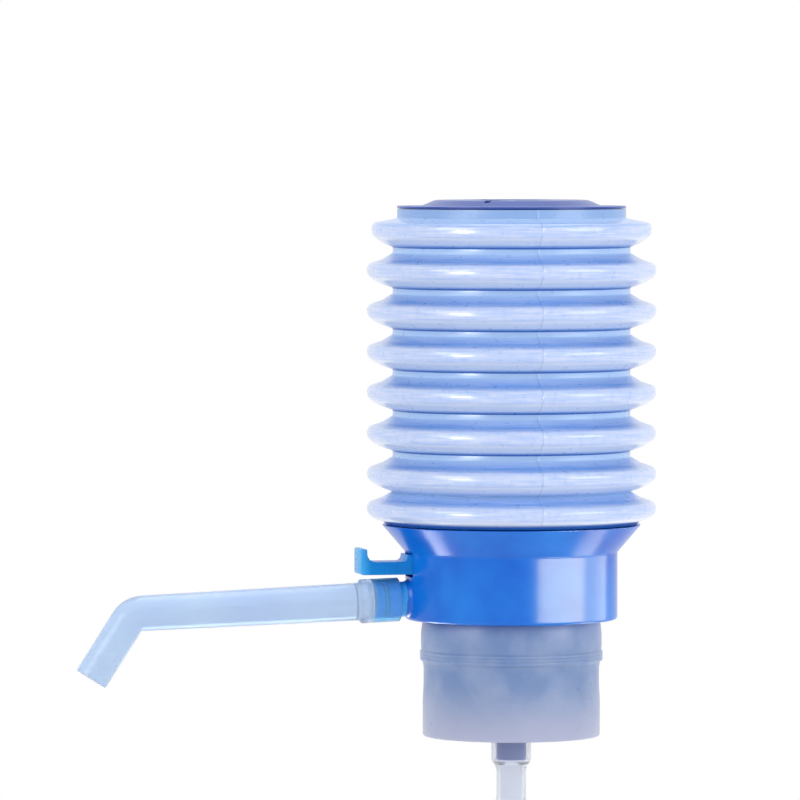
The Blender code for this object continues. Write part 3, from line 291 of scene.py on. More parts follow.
def buildBellowsMaterial(look):
    material, tree, shader = startMaterial(look["name"])
    ringLines = placeGroup(tree, ringLinesGroup, Fineness=look["lineFineness"], Drift=look["lineDrift"])
    lines = ringLines.outputs[0]
    mottle = noiseNode(tree, objectPlace(tree), look["mottleScale"], 2.0)
    streaks = rangeNode(tree, lines, *look["streakRange"])
    patches = mathNode(tree, "MULTIPLY", rangeNode(tree, mottle, *look["mottleRange"]), look["mottleShare"])
    milkiness = mathNode(tree, "MULTIPLY_ADD", streaks, look["streakShare"], patches)
    lowerShare = mathNode(tree, "MULTIPLY_ADD", streaks, look["lowerStreaks"], look["lowerShare"])
    deepShare = mathNode(tree, "MULTIPLY_ADD", streaks, look["deepStreaks"], look["deepShare"])
    colour = mixColour(tree, milkiness, look["pale"], look["milk"])
    # Painted light and shade on each fold: the paler lower flank is painted light, the deeper blue upper
    # flank is painted shade, and the dark line colour is painted shade in the corner below each crest and at
    # the foot, darkens the neck a little, and marks the real ridge of the mould seam
    for zone, share, layer in (
        ("lowerFlank", lowerShare, "bright"), ("valleyBand", look["valleyShare"], "valley"),
        ("upperFlank", deepShare, "paintedShadeColour"), ("cornerLine", 1.0, "line"), ("seam", look["seamShare"], "line"),
    ):
        amount = mathNode(tree, "MULTIPLY", attributeNode(tree, zone), share)
        colour = mixColour(tree, amount, colour, look[layer])
    centred = mathNode(tree, "SUBTRACT", mottle, 0.5)
    roughness = mathNode(tree, "MULTIPLY_ADD", centred, look["roughnessSpread"], look["roughness"])
    coat = mathNode(tree, "MULTIPLY_ADD", attributeNode(tree, "valleyBand"), -look["coat"], look["coat"])
    for name, value in (("Base Color", colour), ("Roughness", roughness), ("Coat Weight", coat)):
        tree.links.new(value, shader.inputs[name])
    shader.inputs["Coat Roughness"].default_value = look["coatRoughness"]
    height = mathNode(tree, "MULTIPLY_ADD", mottle, look["mottleHeight"], lines)
    addBump(tree, shader, height, look["bump"], look["bumpDistance"])
    return material


def buildSteel(look):
    material, tree, shader = startMaterial(look["name"])
    drawn = noiseNode(tree, objectPlace(tree), look["grainScale"], 2.0)
    tree.links.new(mixColour(tree, drawn, look["dark"], look["colour"]), shader.inputs["Base Color"])
    roughness = mathNode(tree, "MULTIPLY_ADD", drawn, look["roughnessSpread"], look["roughness"])
    tree.links.new(roughness, shader.inputs["Roughness"])
    shader.inputs["Metallic"].default_value = 1.0
    addBump(tree, shader, drawn, look["bump"], look["bumpDistance"])
    return material


bellowsPlastic = buildBellowsMaterial({
    "name": "paleBellowsPlastic",
    "pale": (0.400, 0.560, 0.925, 1.0), "milk": (0.650, 0.715, 0.940, 1.0),
    # Painted light on the lower flank, painted shade on the upper flank and in the corner line
    "bright": (0.770, 0.840, 0.950, 1.0), "paintedShadeColour": (0.110, 0.315, 0.780, 1.0),
    "valley": (0.420, 0.640, 0.920, 1.0), "line": (0.032, 0.155, 0.520, 1.0),
    "lineFineness": 2.2, "lineDrift": 80.0, "streakRange": (0.36, 0.64), "streakShare": 0.7,
    "mottleScale": 420.0, "mottleRange": (0.30, 0.70), "mottleShare": 0.3, "mottleHeight": 0.4,
    "lowerShare": 0.70, "lowerStreaks": 0.25, "deepShare": 1.0, "deepStreaks": -0.30,
    "valleyShare": 0.75, "seamShare": 0.35, "roughness": 0.30, "roughnessSpread": 0.16,
    "bump": 0.30, "bumpDistance": 0.06, "coat": 0.6, "coatRoughness": 0.10,
})
springSteel = buildSteel({
    "name": "springSteel", "colour": (0.60, 0.61, 0.63, 1.0), "dark": (0.46, 0.47, 0.50, 1.0),
    "grainScale": 700.0, "roughness": 0.26, "roughnessSpread": 0.15, "bump": 0.15, "bumpDistance": 0.02,
})
print("materials built")


# Mesh helpers

def outlineShape(corners, closed=True):
    # Corners are (radius, height) in mm, with how far a round reaches from the corner as a third value
    shape = bmesh.new()
    points = [shape.verts.new((corner[0] * mm, 0, corner[1] * mm)) for corner in corners]
    ends = points[1:] + points[:1] if closed else points[1:]
    for near, far in zip(points, ends):
        if near.co.x > 0 or far.co.x > 0:
            shape.edges.new((near, far))
    for point, corner in zip(points, corners):
        if len(corner) > 2:
            bmesh.ops.bevel(
                shape, geom=[point], offset=corner[2] * mm, affect="VERTICES",
                segments=arcSegments, profile=0.5, material=-1,
            )
    return shape


def spinShape(shape, steps):
    bmesh.ops.spin(
        shape, geom=shape.verts[:] + shape.edges[:], axis=(0, 0, 1), cent=(0, 0, 0),
        angle=2 * pi, steps=steps, use_merge=True,
    )
    bmesh.ops.remove_doubles(shape, verts=shape.verts, dist=mergeDistance)
    bmesh.ops.recalc_face_normals(shape, faces=shape.faces)
    return shape


def turned(corners, steps):
    return spinShape(outlineShape(corners), steps)


def grooveCorners(part, radius, floor, *reach):
    # From the lower edge of a ring groove to its upper edge
    low = part["grooveAt"] - part["grooveHalf"]
    high = part["grooveAt"] + part["grooveHalf"]
    return [(radius, low, *reach), (floor, low, *reach), (floor, high, *reach), (radius, high, *reach)]


def linkObject(name, data):
    item = bpy.data.objects.new(name, data)
    bpy.context.scene.collection.objects.link(item)
    return item


def smoothPiece(piece):
    piece.data.shade_smooth()
    piece.data.set_sharp_from_angle(angle=creaseAngle)


def makeObject(name, shape, material=None):
    mesh = bpy.data.meshes.new(name)
    shape.to_mesh(mesh)
    shape.free()
    if material:
        mesh.materials.append(material)
    piece = linkObject(name, mesh)
    smoothPiece(piece)
    return piece


def settle(piece, body, slotName, *replacedNodes):
    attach(piece, body)
    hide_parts(*replacedNodes)
    print("piece:", piece.name, len(piece.data.polygons), "faces")


def rodShape(start, end, radius, steps=48):
    start, end = Vector(start) * mm, Vector(end) * mm
    along = end - start
    turn = along.to_track_quat("Z", "Y").to_matrix().to_4x4()
    shape = bmesh.new()
    bmesh.ops.create_cone(
        shape, cap_ends=True, segments=steps, radius1=radius * mm, radius2=radius * mm,
        depth=along.length, matrix=Matrix.Translation(start + along / 2) @ turn,
    )
    return shape


def axisRod(low, high, radius, steps=48):
    return rodShape((0, 0, low), (0, 0, high), radius, steps)


def pinRod(part, reach, radius):
    near, far = ((-part["pinAt"], side * reach, part["pinHeight"]) for side in (-1, 1))
    return rodShape(near, far, radius)


def blockShape(low, high):
    low, high = Vector(low) * mm, Vector(high) * mm
    shape = bmesh.new()
    bmesh.ops.create_cube(shape, size=1)
    bmesh.ops.scale(shape, vec=high - low, verts=shape.verts)
    bmesh.ops.translate(shape, vec=(low + high) / 2, verts=shape.verts)
    return shape


def combineWith(piece, operation, shape, place=None):
    tool = makeObject(piece.name + "Tool", shape)
    if place:
        tool.data.transform(place)
    modifier = piece.modifiers.new("join", "BOOLEAN")
    modifier.operation = operation
    modifier.solver = "EXACT"
    modifier.object = tool
    bpy.context.view_layer.update()
    graph = bpy.context.evaluated_depsgraph_get()
    mesh = bpy.data.meshes.new_from_object(piece.evaluated_get(graph))
    old = piece.data
    piece.modifiers.clear()
    piece.data = mesh
    bpy.data.meshes.remove(old)
    bpy.data.objects.remove(tool)


def cut(piece, shape, place=None):
    combineWith(piece, "DIFFERENCE", shape, place)


# Bellows, blow moulded in two mould halves

bellows = {
    "crest": 49.2, "topCrest": 47.6, "valley": 40.3, "wall": 0.9, "folds": 8, "pitch": 13.8,
    "lastPitch": 11.8, "lastCrestHeight": 50.8, "neckRadius": 38.8, "neckFoot": 149.2, "rim": 152.4,
    "shoulderRadius": 43.6, "shoulderTop": 46.5, "footRadius": 42.8, "foot": 45.7,
    "lipRadius": 40.95, "steps": 160,
    # One fold: height and depth as shares of the pitch and of the fold's depth, then the round's reach
    "foldShares": (
        (0.425, 0.00, 0.40), (0.262, 0.43, 0.60), (0.165, 0.89, 0.70), (0.060, 1.00, 0.70),
        (-0.110, 0.96, 0.80), (-0.230, 0.75, 0.60), (-0.340, 0.42, 0.50), (-0.425, 0.00, 0.35),
    ),
    "topFoldStart": 2, "lastFoldEnd": 6,
    "partingHalfWidth": 0.30, "partingHeight": 0.18, "stroke": 60.0,
}
# Where one fold takes painted light and shade colours, as shares of its pitch and of its depth; the margin is
# in mm
foldZones = {
    "crestShift": 0.05, "upperFrom": 0.1, "upperMiddle": 0.5, "upperHalf": 0.45, "lowerTo": -0.16,
    "lowerOut": 0.3, "valleyOut": 0.1, "lineTo": -0.38, "lineOut": 0.2, "margin": 0.1, "neckDarkening": 0.4,
}
zoneNames = ("along", "upperFlank", "lowerFlank", "valleyBand", "cornerLine", "seam")


def foldHeights(part):
    heights = [part["lastCrestHeight"], part["lastCrestHeight"] + part["lastPitch"]]
    while len(heights) < part["folds"]:
        heights.append(heights[-1] + part["pitch"])
    return heights[::-1]


def bellowsCorners(part):
    corners = [(part["neckRadius"], part["rim"]), (part["neckRadius"], part["neckFoot"], 0.4)]
    heights = foldHeights(part)
    for index, height in enumerate(heights):
        crest = part["topCrest"] if index == 0 else part["crest"]
        first = part["topFoldStart"] if index == 0 else 0
        last = part["lastFoldEnd"] if index == len(heights) - 1 else len(part["foldShares"])
        shares = part["foldShares"][first:last]
        for up, out, reach in shares:
            radius = part["valley"] + (crest - part["valley"]) * out
            corners.append((radius, height + part["pitch"] * up, reach))
    corners.append((part["shoulderRadius"], part["shoulderTop"], 0.3))
    corners.append((part["footRadius"], part["foot"]))
    corners.append((part["lipRadius"], part["foot"]))
    return corners


def markZones(shape, part, limits):
    # Spin copies these values, so each goes all the way round; "along" is in mm down the outline
    layers = {zone: shape.verts.layers.float.new(zone) for zone in zoneNames}
    heights = foldHeights(part)
    walk = next(vert for vert in shape.verts if len(vert.link_edges) == 1 and vert.co.z > heights[0] * mm)
    seen = None
    distance = 0.0
    while walk:
        radius, height = walk.co.x / mm, walk.co.z / mm
        crest = min(heights, key=lambda value: abs(value + limits["crestShift"] * part["pitch"] - height))
        up = (height - crest) / part["pitch"]
        out = (radius - part["valley"]) / (part["crest"] - part["valley"])
        upper = max(0.0, 1 - abs(out - limits["upperMiddle"]) / limits["upperHalf"])
        inCorner = out < limits["lineOut"] and up < limits["lineTo"]
        atFoot = height < part["shoulderTop"] + limits["margin"]
        atNeck = height > part["neckFoot"] + limits["margin"]
        walk[layers["along"]] = distance / mm
        # The upper flank takes painted shade and the lower flank painted light
        walk[layers["upperFlank"]] = upper if up > limits["upperFrom"] else 0.0
        walk[layers["lowerFlank"]] = float(up < limits["lowerTo"] and out > limits["lowerOut"])
        walk[layers["valleyBand"]] = float(out < limits["valleyOut"])
        # Painted shade: a dark line in the corner below each crest, and a painted shadow at the foot where
        # the bellows meets the housing's rim; the neck is only made a little darker
        walk[layers["cornerLine"]] = limits["neckDarkening"] if atNeck else float(inCorner or atFoot)
        onward = [edge.other_vert(walk) for edge in walk.link_edges if edge.other_vert(walk) != seen]
        if onward:
            distance += (onward[0].co - walk.co).length
        seen, walk = walk, onward[0] if onward else None


def raisePartingLine(shape, part):
    half = part["partingHalfWidth"] * mm
    for offset in (-half, 0.0, half):
        bmesh.ops.bisect_plane(
            shape, geom=shape.verts[:] + shape.edges[:] + shape.faces[:], dist=mergeDistance,
            plane_co=(offset, 0, 0), plane_no=(1, 0, 0),
        )
    seam = shape.verts.layers.float["seam"]
    for vert in shape.verts:
        if abs(vert.co.x) < half / 3:
            vert.co.y += part["partingHeight"] * mm * (1 if vert.co.y > 0 else -1)
            vert[seam] = 1.0


def makeBellows(part):
    shape = outlineShape(bellowsCorners(part), closed=False)
    markZones(shape, part, foldZones)
    spinShape(shape, part["steps"])
    raisePartingLine(shape, part)
    bmesh.ops.recalc_face_normals(shape, faces=shape.faces)
    bmesh.ops.solidify(shape, geom=shape.faces[:], thickness=part["wall"] * mm)
    folds = makeObject("bellowsFolds", shape, bellowsPlastic)
    settle(folds, "pump_base", "pale_blue_plastic", "bellows")
    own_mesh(folds)


makeBellows(bellows)


# Housing, moulded with its outlet nipple and the lever's pocket

housing = {
    "radius": 36.0, "bottom": 13.2, "wall": 2.2, "footRound": 1.0, "coneFoot": 36.2, "coneTop": 45.4,
    "rimRadius": 44.0, "rimRound": 0.45, "bead": 0.15, "beadHeight": 0.5, "plateBore": 35.5, "ledge": 37.5,
    "spigotRadius": 27.2, "spigotWall": 2.3, "spigotBottom": 2.3, "spigotBead": 7.0, "spigotBeadHalf": 0.8,
    "spigotBeadDepth": 0.5, "floor": 2.0, "floorHoles": 6, "floorHoleRadius": 2.2, "floorHoleCircle": 15.0,
    "ductRadius": 8.5, "socketRadius": 6.7, "socketTop": 16.3, "throatRadius": 3.6, "steps": 160,
}
nipple = {
    "axisHeight": 21.9, "droop": 2.3, "radius": 6.0, "bore": 3.8, "reach": 47.5, "chamfer": 0.6,
    "grooveAt": 44.0, "grooveHalf": 0.75, "grooveFloor": 4.8, "steps": 64,
    # Past the housing's side: where the nipple and its painted light start, then the ring at its foot
    "start": -2.0, "paintedNippleLightFrom": 1.2, "footRing": ((1.0, -1.0, 0.3), (1.0, -0.4, 0.3), (0.0, 0.9, 0.6)),
}
pocket = {
    "halfWidth": 6.3, "wall": 1.8, "floor": 28.0, "ceiling": 36.2, "end": 19.3, "skin": 1.1,
    "wallBite": 0.275, "ventAt": 23.0, "ventSpacing": 8.4, "ventRadius": 1.1, "ventFoot": 2.05,
    "seatRadius": 1.9, "seatHeight": 0.5, "seatFoot": 0.9,
    "pinAt": 33.0, "pinHeight": 32.2, "pinRadius": 1.2, "pinReach": 7.5,
}
coneSlope = (housing["rimRadius"] - housing["radius"]) / (housing["coneTop"] - housing["coneFoot"])
coneStretch = (1 + coneSlope * coneSlope) ** 0.5


def spoutFrame():
    # Local Z runs out along the nipple and the spout, and local X points up
    turn = Matrix.Rotation(-(pi / 2 + radians(nipple["droop"])), 4, "Y")
    return Matrix.Translation((0, 0, nipple["axisHeight"] * mm)) @ turn


def coneRadius(height, inset):
    return housing["radius"] + coneSlope * (height - housing["coneFoot"]) - inset * coneStretch


def coneHeight(radius, inset):
    return housing["coneFoot"] + (radius + inset * coneStretch - housing["radius"]) / coneSlope


def ringOfRods(count, circle, radius, low, high):
    shape = bmesh.new()
    for index in range(count):
        angle = 2 * pi * (index + 0.5) / count
        place = Vector((circle * cos(angle), circle * sin(angle), (low + high) / 2)) * mm
        bmesh.ops.create_cone(
            shape, cap_ends=True, segments=32, radius1=radius * mm, radius2=radius * mm,
            depth=(high - low) * mm, matrix=Matrix.Translation(place),
        )
    return shape


def makeHousing(part):
    radius = part["radius"]
    spigot = part["spigotRadius"]
    annulusTop = part["bottom"] + part["wall"]
    floorTop = part["spigotBottom"] + part["floor"]
    spigotBore = spigot - part["spigotWall"]
    beadLow = part["spigotBead"] - part["spigotBeadHalf"]
    beadHigh = part["spigotBead"] + part["spigotBeadHalf"]
    bore = radius - part["wall"]
    shell = makeObject("housingShell", turned((
        (0, part["spigotBottom"]), (spigot, part["spigotBottom"], 0.4),
        (spigot, beadLow, 0.2),
        (spigot + part["spigotBeadDepth"], part["spigotBead"], 0.3),
        (spigot, beadHigh, 0.2), (spigot, part["bottom"]),
        (radius, part["bottom"], part["footRound"]),
        (radius, part["coneFoot"] - part["beadHeight"], 0.15),
        (radius + part["bead"], part["coneFoot"] - 0.6 * part["beadHeight"], 0.08),
        (radius + part["bead"], part["coneFoot"], 0.20),
        (part["rimRadius"], part["coneTop"], part["rimRound"]),
        (coneRadius(part["coneTop"], part["wall"]), part["coneTop"], 0.3),
        (part["plateBore"], coneHeight(part["plateBore"], part["wall"])), (part["plateBore"], part["ledge"]),
        (bore, part["ledge"], 0.3), (bore, annulusTop, 0.8), (spigotBore, annulusTop, 0.5),
        (spigotBore, floorTop, 0.8), (0, floorTop),
    ), part["steps"]), housingPlastic)
    middle = part["spigotBottom"] + part["floor"] / 2
    combineWith(shell, "UNION", axisRod(middle, nipple["axisHeight"] + nipple["radius"], part["ductRadius"]))
    combineWith(shell, "UNION", nippleShape(nipple), spoutFrame())
    outside = pocket["halfWidth"] + pocket["wall"]
    combineWith(shell, "UNION", blockShape(
        (-bore - pocket["wallBite"], -outside, pocket["floor"] - pocket["wall"]),
        (pocket["wall"] - pocket["end"], outside, pocket["ceiling"] + pocket["skin"]),
    ))
    cutWaterway(shell, part, floorTop)
    cutPocket(shell, part)
    smoothPiece(shell)
    # Painted light on the nipple, which the clear spout otherwise shades
    paintedNippleLight = shell.data.attributes.new("nipple", "FLOAT", "POINT")
    paintedNippleLightStart = -(radius + nipple["paintedNippleLightFrom"]) * mm
    for vert in shell.data.vertices:
        onNipple = vert.co.x < paintedNippleLightStart and vert.co.z < pocket["floor"] * mm
        paintedNippleLight.data[vert.index].value = float(onNipple)
    settle(shell, "pump_base", "blue_plastic", "housing")


def nippleShape(part):
    side = housing["radius"]
    return turned((
        (0, 0), (part["radius"], 0), (part["radius"], side + part["start"]),
        *[(part["radius"] + extra, side + out, reach) for extra, out, reach in part["footRing"]],
        *grooveCorners(part, part["radius"], part["grooveFloor"], 0.1),
        (part["radius"], part["reach"] - part["chamfer"]),
        (part["radius"] - part["chamfer"], part["reach"], 0.1), (0, part["reach"]),
    ), part["steps"])


def cutWaterway(shell, part, floorTop):
    below = part["spigotBottom"] - overrun
    cut(shell, axisRod(below, part["socketTop"], part["socketRadius"], nipple["steps"]))
    cut(shell, axisRod(part["socketTop"] - overrun, nipple["axisHeight"], part["throatRadius"]))
    cut(shell, axisRod(
        -nipple["bore"], nipple["reach"] + overrun, nipple["bore"], nipple["steps"],
    ), spoutFrame())
    cut(shell, ringOfRods(
        part["floorHoles"], part["floorHoleCircle"], part["floorHoleRadius"], below, floorTop + overrun,
    ))


def cutPocket(shell, part):
    cut(shell, blockShape(
        (-part["radius"] - overrun, -pocket["halfWidth"], pocket["floor"]),
        (-pocket["end"], pocket["halfWidth"], pocket["ceiling"]),
    ))
    seatTop = pocket["floor"] + pocket["seatHeight"]
    for side in (-0.5, 0.5):
        seat = (-pocket["ventAt"], side * pocket["ventSpacing"])
        combineWith(shell, "UNION", rodShape(
            (*seat, pocket["floor"] - pocket["seatFoot"]), (*seat, seatTop), pocket["seatRadius"],
        ))
        cut(shell, rodShape(
            (*seat, pocket["floor"] - pocket["ventFoot"]), (*seat, seatTop + overrun), pocket["ventRadius"],
        ))
    cut(shell, pinRod(pocket, pocket["pinReach"], pocket["pinRadius"]))


makeHousing(housing)


# Mounting collar, its gasket and the riser pipe inside it

collar = {
    "bore": 27.7, "top": 12.9, "bottom": -26.5, "topRadius": 30.1, "shoulderRadius": 30.7, "shoulderTop": 9.0,
    "bandRadius": 31.0, "bandTop": 2.5, "bandBottom": -0.5, "waistRadius": 29.8, "waistTop": -2.4,
    "bodyTop": -9.5, "bodyRadius": 30.1, "ribHeights": (-15.5, -6.0), "ribDepth": 0.5, "ribHalf": 0.6,
    "grooveAt": 7.0, "grooveHalf": 1.3, "grooveDepth": 0.5,
    "lineSpacing": 0.5, "lineHalf": 0.22, "lineDepth": 0.18, "steps": 144,
}
gasket = {"outer": 27.4, "inner": 21.6, "thickness": 2.0, "steps": 96}
riser = {
    "bore": 3.6, "radius": 5.05, "end": -34.5, "flangeRadius": 10.0, "flangeBottom": 0.5, "flangeTop": 2.0,
    "headRadius": 6.4, "headTop": 16.0, "grooveAt": 11.0, "grooveHalf": 0.8, "grooveFloor": 5.1, "steps": 64,
}


def makeCollar(part):
    bore = part["bore"]
    bandRadius = part["bandRadius"]
    band = []
    middle = (part["bandTop"] + part["bandBottom"]) / 2
    for height in (middle + part["lineSpacing"], middle - part["lineSpacing"]):
        band += [
            (bandRadius, height + part["lineHalf"], 0.08),
            (bandRadius - part["lineDepth"], height, 0.06),
            (bandRadius, height - part["lineHalf"], 0.08),
        ]
    ribs = []
    for height in part["ribHeights"]:
        ribs += [
            (bore, height - part["ribHalf"], 0.2), (bore - part["ribDepth"], height, 0.3),
            (bore, height + part["ribHalf"], 0.2),
        ]
    sleeve = makeObject("collarSleeve", turned((
        (part["topRadius"], part["top"], 0.4), (part["shoulderRadius"], part["shoulderTop"], 1.5),
        (part["shoulderRadius"], part["bandTop"] + 1.4, 0.4),
        (part["shoulderRadius"] - 0.15, part["bandTop"] + 0.3, 0.2),
        (bandRadius, part["bandTop"], 0.15), *band, (bandRadius, part["bandBottom"], 0.2),
        (part["waistRadius"] + 0.35, part["bandBottom"] - 0.7, 0.3),
        (part["waistRadius"], part["waistTop"] - 0.8, 0.5),
        (part["waistRadius"], part["bodyTop"], 2.0), (part["bodyRadius"], part["bodyTop"] - 4.0, 2.0),
        (part["bodyRadius"], part["bottom"], 0.8), (bore + 1.0, part["bottom"], 0.2),
        (bore, part["bottom"] + 1.0, 0.3), *ribs,
        (bore, part["grooveAt"] - part["grooveHalf"]),
        (bore + part["grooveDepth"], part["grooveAt"]),
        (bore, part["grooveAt"] + part["grooveHalf"]), (bore, part["top"]),
    ), part["steps"]), collarPlastic)
    settle(sleeve, "pump_base", "milky_plastic", "mounting_collar")


def makeGasket(part):
    ring = makeObject("seatGasketRing", turned((
        (part["outer"], 0, 0.25), (part["outer"], part["thickness"], 0.25),
        (part["inner"], part["thickness"], 0.25), (part["inner"], 0, 0.25),
    ), part["steps"]), greyRubber)
    settle(ring, "pump_base", "grey_rubber", "seat_gasket")


def makeRiser(part):
    pipe = makeObject("riserStem", turned((
        (part["bore"], part["end"], 0.3), (part["radius"], part["end"], 0.5),
        (part["radius"], part["flangeBottom"], 0.4), (part["flangeRadius"], part["flangeBottom"], 0.3),
        (part["flangeRadius"], part["flangeTop"], 0.3), (part["headRadius"], part["flangeTop"]),
        *grooveCorners(part, part["headRadius"], part["grooveFloor"]),
        (part["headRadius"], part["headTop"], 0.3), (part["bore"], part["headTop"], 0.2),
    ), part["steps"]), innerPlastic)
    settle(pipe, "pump_base", "blue_plastic", "riser_pipe")


makeCollar(collar)
makeGasket(gasket)
makeRiser(riser)


# Dip tube, three lengths that push into each other

dipTube = {
    "radius": 5.05, "bore": 3.75, "bellBore": 5.35, "bellRadius": 6.75, "bellDepth": 25.3, "cone": 2.7,
    "length": 170.0, "notchWidth": 3.0, "notchHeight": 4.5, "steps": 64,
}
# Each length with its node and the height of its top in mm
tubeLengths = (
    ("dipTubeUpper", "dip_tube_upper", -9.5), ("dipTubeMiddle", "dip_tube_middle", -154.5),
    ("dipTubeLower", "dip_tube_lower", -299.5),
)


def makeDipTube(part, name, node, top):
    bellFloor = top - part["bellDepth"]
    end = top - part["length"]
    tube = makeObject(name, turned((
        (part["bellBore"], top, 0.3), (part["bellRadius"], top, 0.3), (part["bellRadius"], bellFloor, 1.0),
        (part["radius"], bellFloor - part["cone"], 1.0), (part["radius"], end, 0.25),
        (part["bore"], end, 0.25), (part["bore"], bellFloor - part["cone"] / 2, 0.5),
        (part["bellBore"], bellFloor, 0.3),
    ), part["steps"]), tubePlastic)
    if node == "dip_tube_lower":
        reach = part["radius"] + overrun
        half = part["notchWidth"] / 2
        cut(tube, blockShape(
            (-reach, -half, end - overrun), (reach, half, end + part["notchHeight"]),
        ))
        smoothPiece(tube)
    settle(tube, "pump_base", "clear_tube", node)


for tubeName, tubeNode, tubeTop in tubeLengths:
    makeDipTube(dipTube, tubeName, tubeNode, tubeTop)


# Press cap, with the inlet valve under its well

cap = {
    "wellRadius": 13.0, "wellTop": 152.4, "wellBottom": 150.6, "top": 155.4, "padRadius": 26.0,
    "padFootRadius": 30.6, "flangeRadius": 38.8, "flangeTop": 153.4, "flangeBottom": 152.7,
    "skirtRadius": 37.2, "skirtBottom": 146.5, "wall": 2.0, "skirtWall": 2.8,
    "grooveAt": 149.3, "grooveHalf": 0.85, "grooveDepth": 1.6,
    "stemHole": 1.8, "ports": 6, "portRadius": 1.5, "portCircle": 6.8,
    "airGrooves": 3, "airGrooveWidth": 2.0, "airGrooveDepth": 0.8, "steps": 160,
}
flapValve = {
    "radius": 11.0, "rim": 1.0, "crown": 2.2, "crownRadius": 4.0, "stem": 1.6, "neck": 1.2, "clipRadius": 3.4,
    "clipThickness": 0.9, "head": 0.5, "runningGap": 0.2, "steps": 72,
}
valveSeats = (
    ("inletFlap", "inletClip", "inlet_valve", "inlet_valve_clip", "inlet_flap", 150.3, 153.7),
    ("outletFlap", "outletClip", "outlet_valve", "outlet_valve_clip", "outlet_flap", 38.8, 41.9),
)


def makeCap(part):
    well = part["wellRadius"]
    skirt = part["skirtRadius"]
    skirtBore = skirt - part["skirtWall"]
    grooveFloor = skirt - part["grooveDepth"]
    inner = part["flangeTop"] - part["wall"]
    padUnder = part["top"] - part["wall"]
    wellOuter = well + part["wall"]
    disc = makeObject("pressCapDisc", turned((
        (0, part["wellTop"]), (well, part["wellTop"], 0.5),
        (well, part["top"], 0.5), (part["padRadius"], part["top"], 1.0),
        (part["padFootRadius"], part["flangeTop"], 0.8), (part["flangeRadius"], part["flangeTop"], 0.25),
        (part["flangeRadius"], part["flangeBottom"], 0.15), (skirt, part["flangeBottom"]),
        *grooveCorners(part, skirt, grooveFloor)[::-1],
        (skirt, part["skirtBottom"], 0.4), (skirtBore, part["skirtBottom"], 0.4),
        (skirtBore, inner, 0.6), (part["padFootRadius"] - part["wall"], inner, 0.5),
        (part["padRadius"] - part["wall"], padUnder, 0.5), (wellOuter, padUnder, 0.5),
        (wellOuter, part["wellBottom"], 0.3), (0, part["wellBottom"]),
    ), part["steps"]), capPlastic)
    low, high = part["wellBottom"] - overrun, part["wellTop"] + overrun
    cut(disc, axisRod(low, high, part["stemHole"]))
    ports = ringOfRods(part["ports"], part["portCircle"], part["portRadius"], low, high)
    cut(disc, ports)
    for index in range(part["airGrooves"]):
        groove = blockShape(
            (well - overrun, -part["airGrooveWidth"] / 2, part["top"] - part["airGrooveDepth"]),
            (part["padFootRadius"], part["airGrooveWidth"] / 2, part["top"] + overrun),
        )
        cut(disc, groove, Matrix.Rotation(2 * pi * index / part["airGrooves"], 4, "Z"))
    smoothPiece(disc)
    settle(disc, "press_top", "dark_blue_plastic", "press_cap")


def makeFlapValve(part, seat):
    flapName, clipName, flapNode, clipNode, body, rimTop, clipBottom = seat
    clipTop = clipBottom + part["clipThickness"]
    headFoot = clipTop + part["runningGap"]
    flap = makeObject(flapName, turned((
        (0, rimTop - part["crown"]), (part["crownRadius"], rimTop - part["crown"], 0.8),
        (part["radius"], rimTop - part["rim"], 0.3), (part["radius"], rimTop, 0.2),
        (part["stem"], rimTop, 0.2),
        (part["stem"], clipBottom - part["runningGap"]), (part["neck"], clipBottom - part["runningGap"]),
        (part["neck"], headFoot), (part["stem"], headFoot, 0.1), (part["neck"], headFoot + part["head"], 0.2),
        (0, headFoot + part["head"]),
    ), part["steps"]), milkySilicone)
    settle(flap, body, "grey_rubber", flapNode)
    clip = makeObject(clipName, turned((
        (part["neck"] + part["runningGap"], clipBottom, 0.1), (part["clipRadius"], clipBottom, 0.2),
        (part["clipRadius"], clipTop, 0.25), (part["neck"] + part["runningGap"], clipTop, 0.1),
    ), part["steps"]), innerPlastic)
    settle(clip, body, "dark_blue_plastic" if body == "inlet_flap" else "blue_plastic", clipNode)


makeCap(cap)
for valveSeat in valveSeats:
    makeFlapValve(flapValve, valveSeat)


# Release lever on its pin

lever = {
    "width": 11.9, "reach": 53.2, "barBottom": 29.0, "barTop": 33.3, "headTop": 37.8, "headThickness": 2.2,
    "rootReach": 37.2, "rootEnd": 30.3, "rootTop": 35.7, "armBottom": 30.3, "armTop": 32.6, "armEnd": 20.5,
    "pinAt": 33.0, "pinHeight": 32.2, "pinHole": 1.2, "edgeRound": 0.25,
}


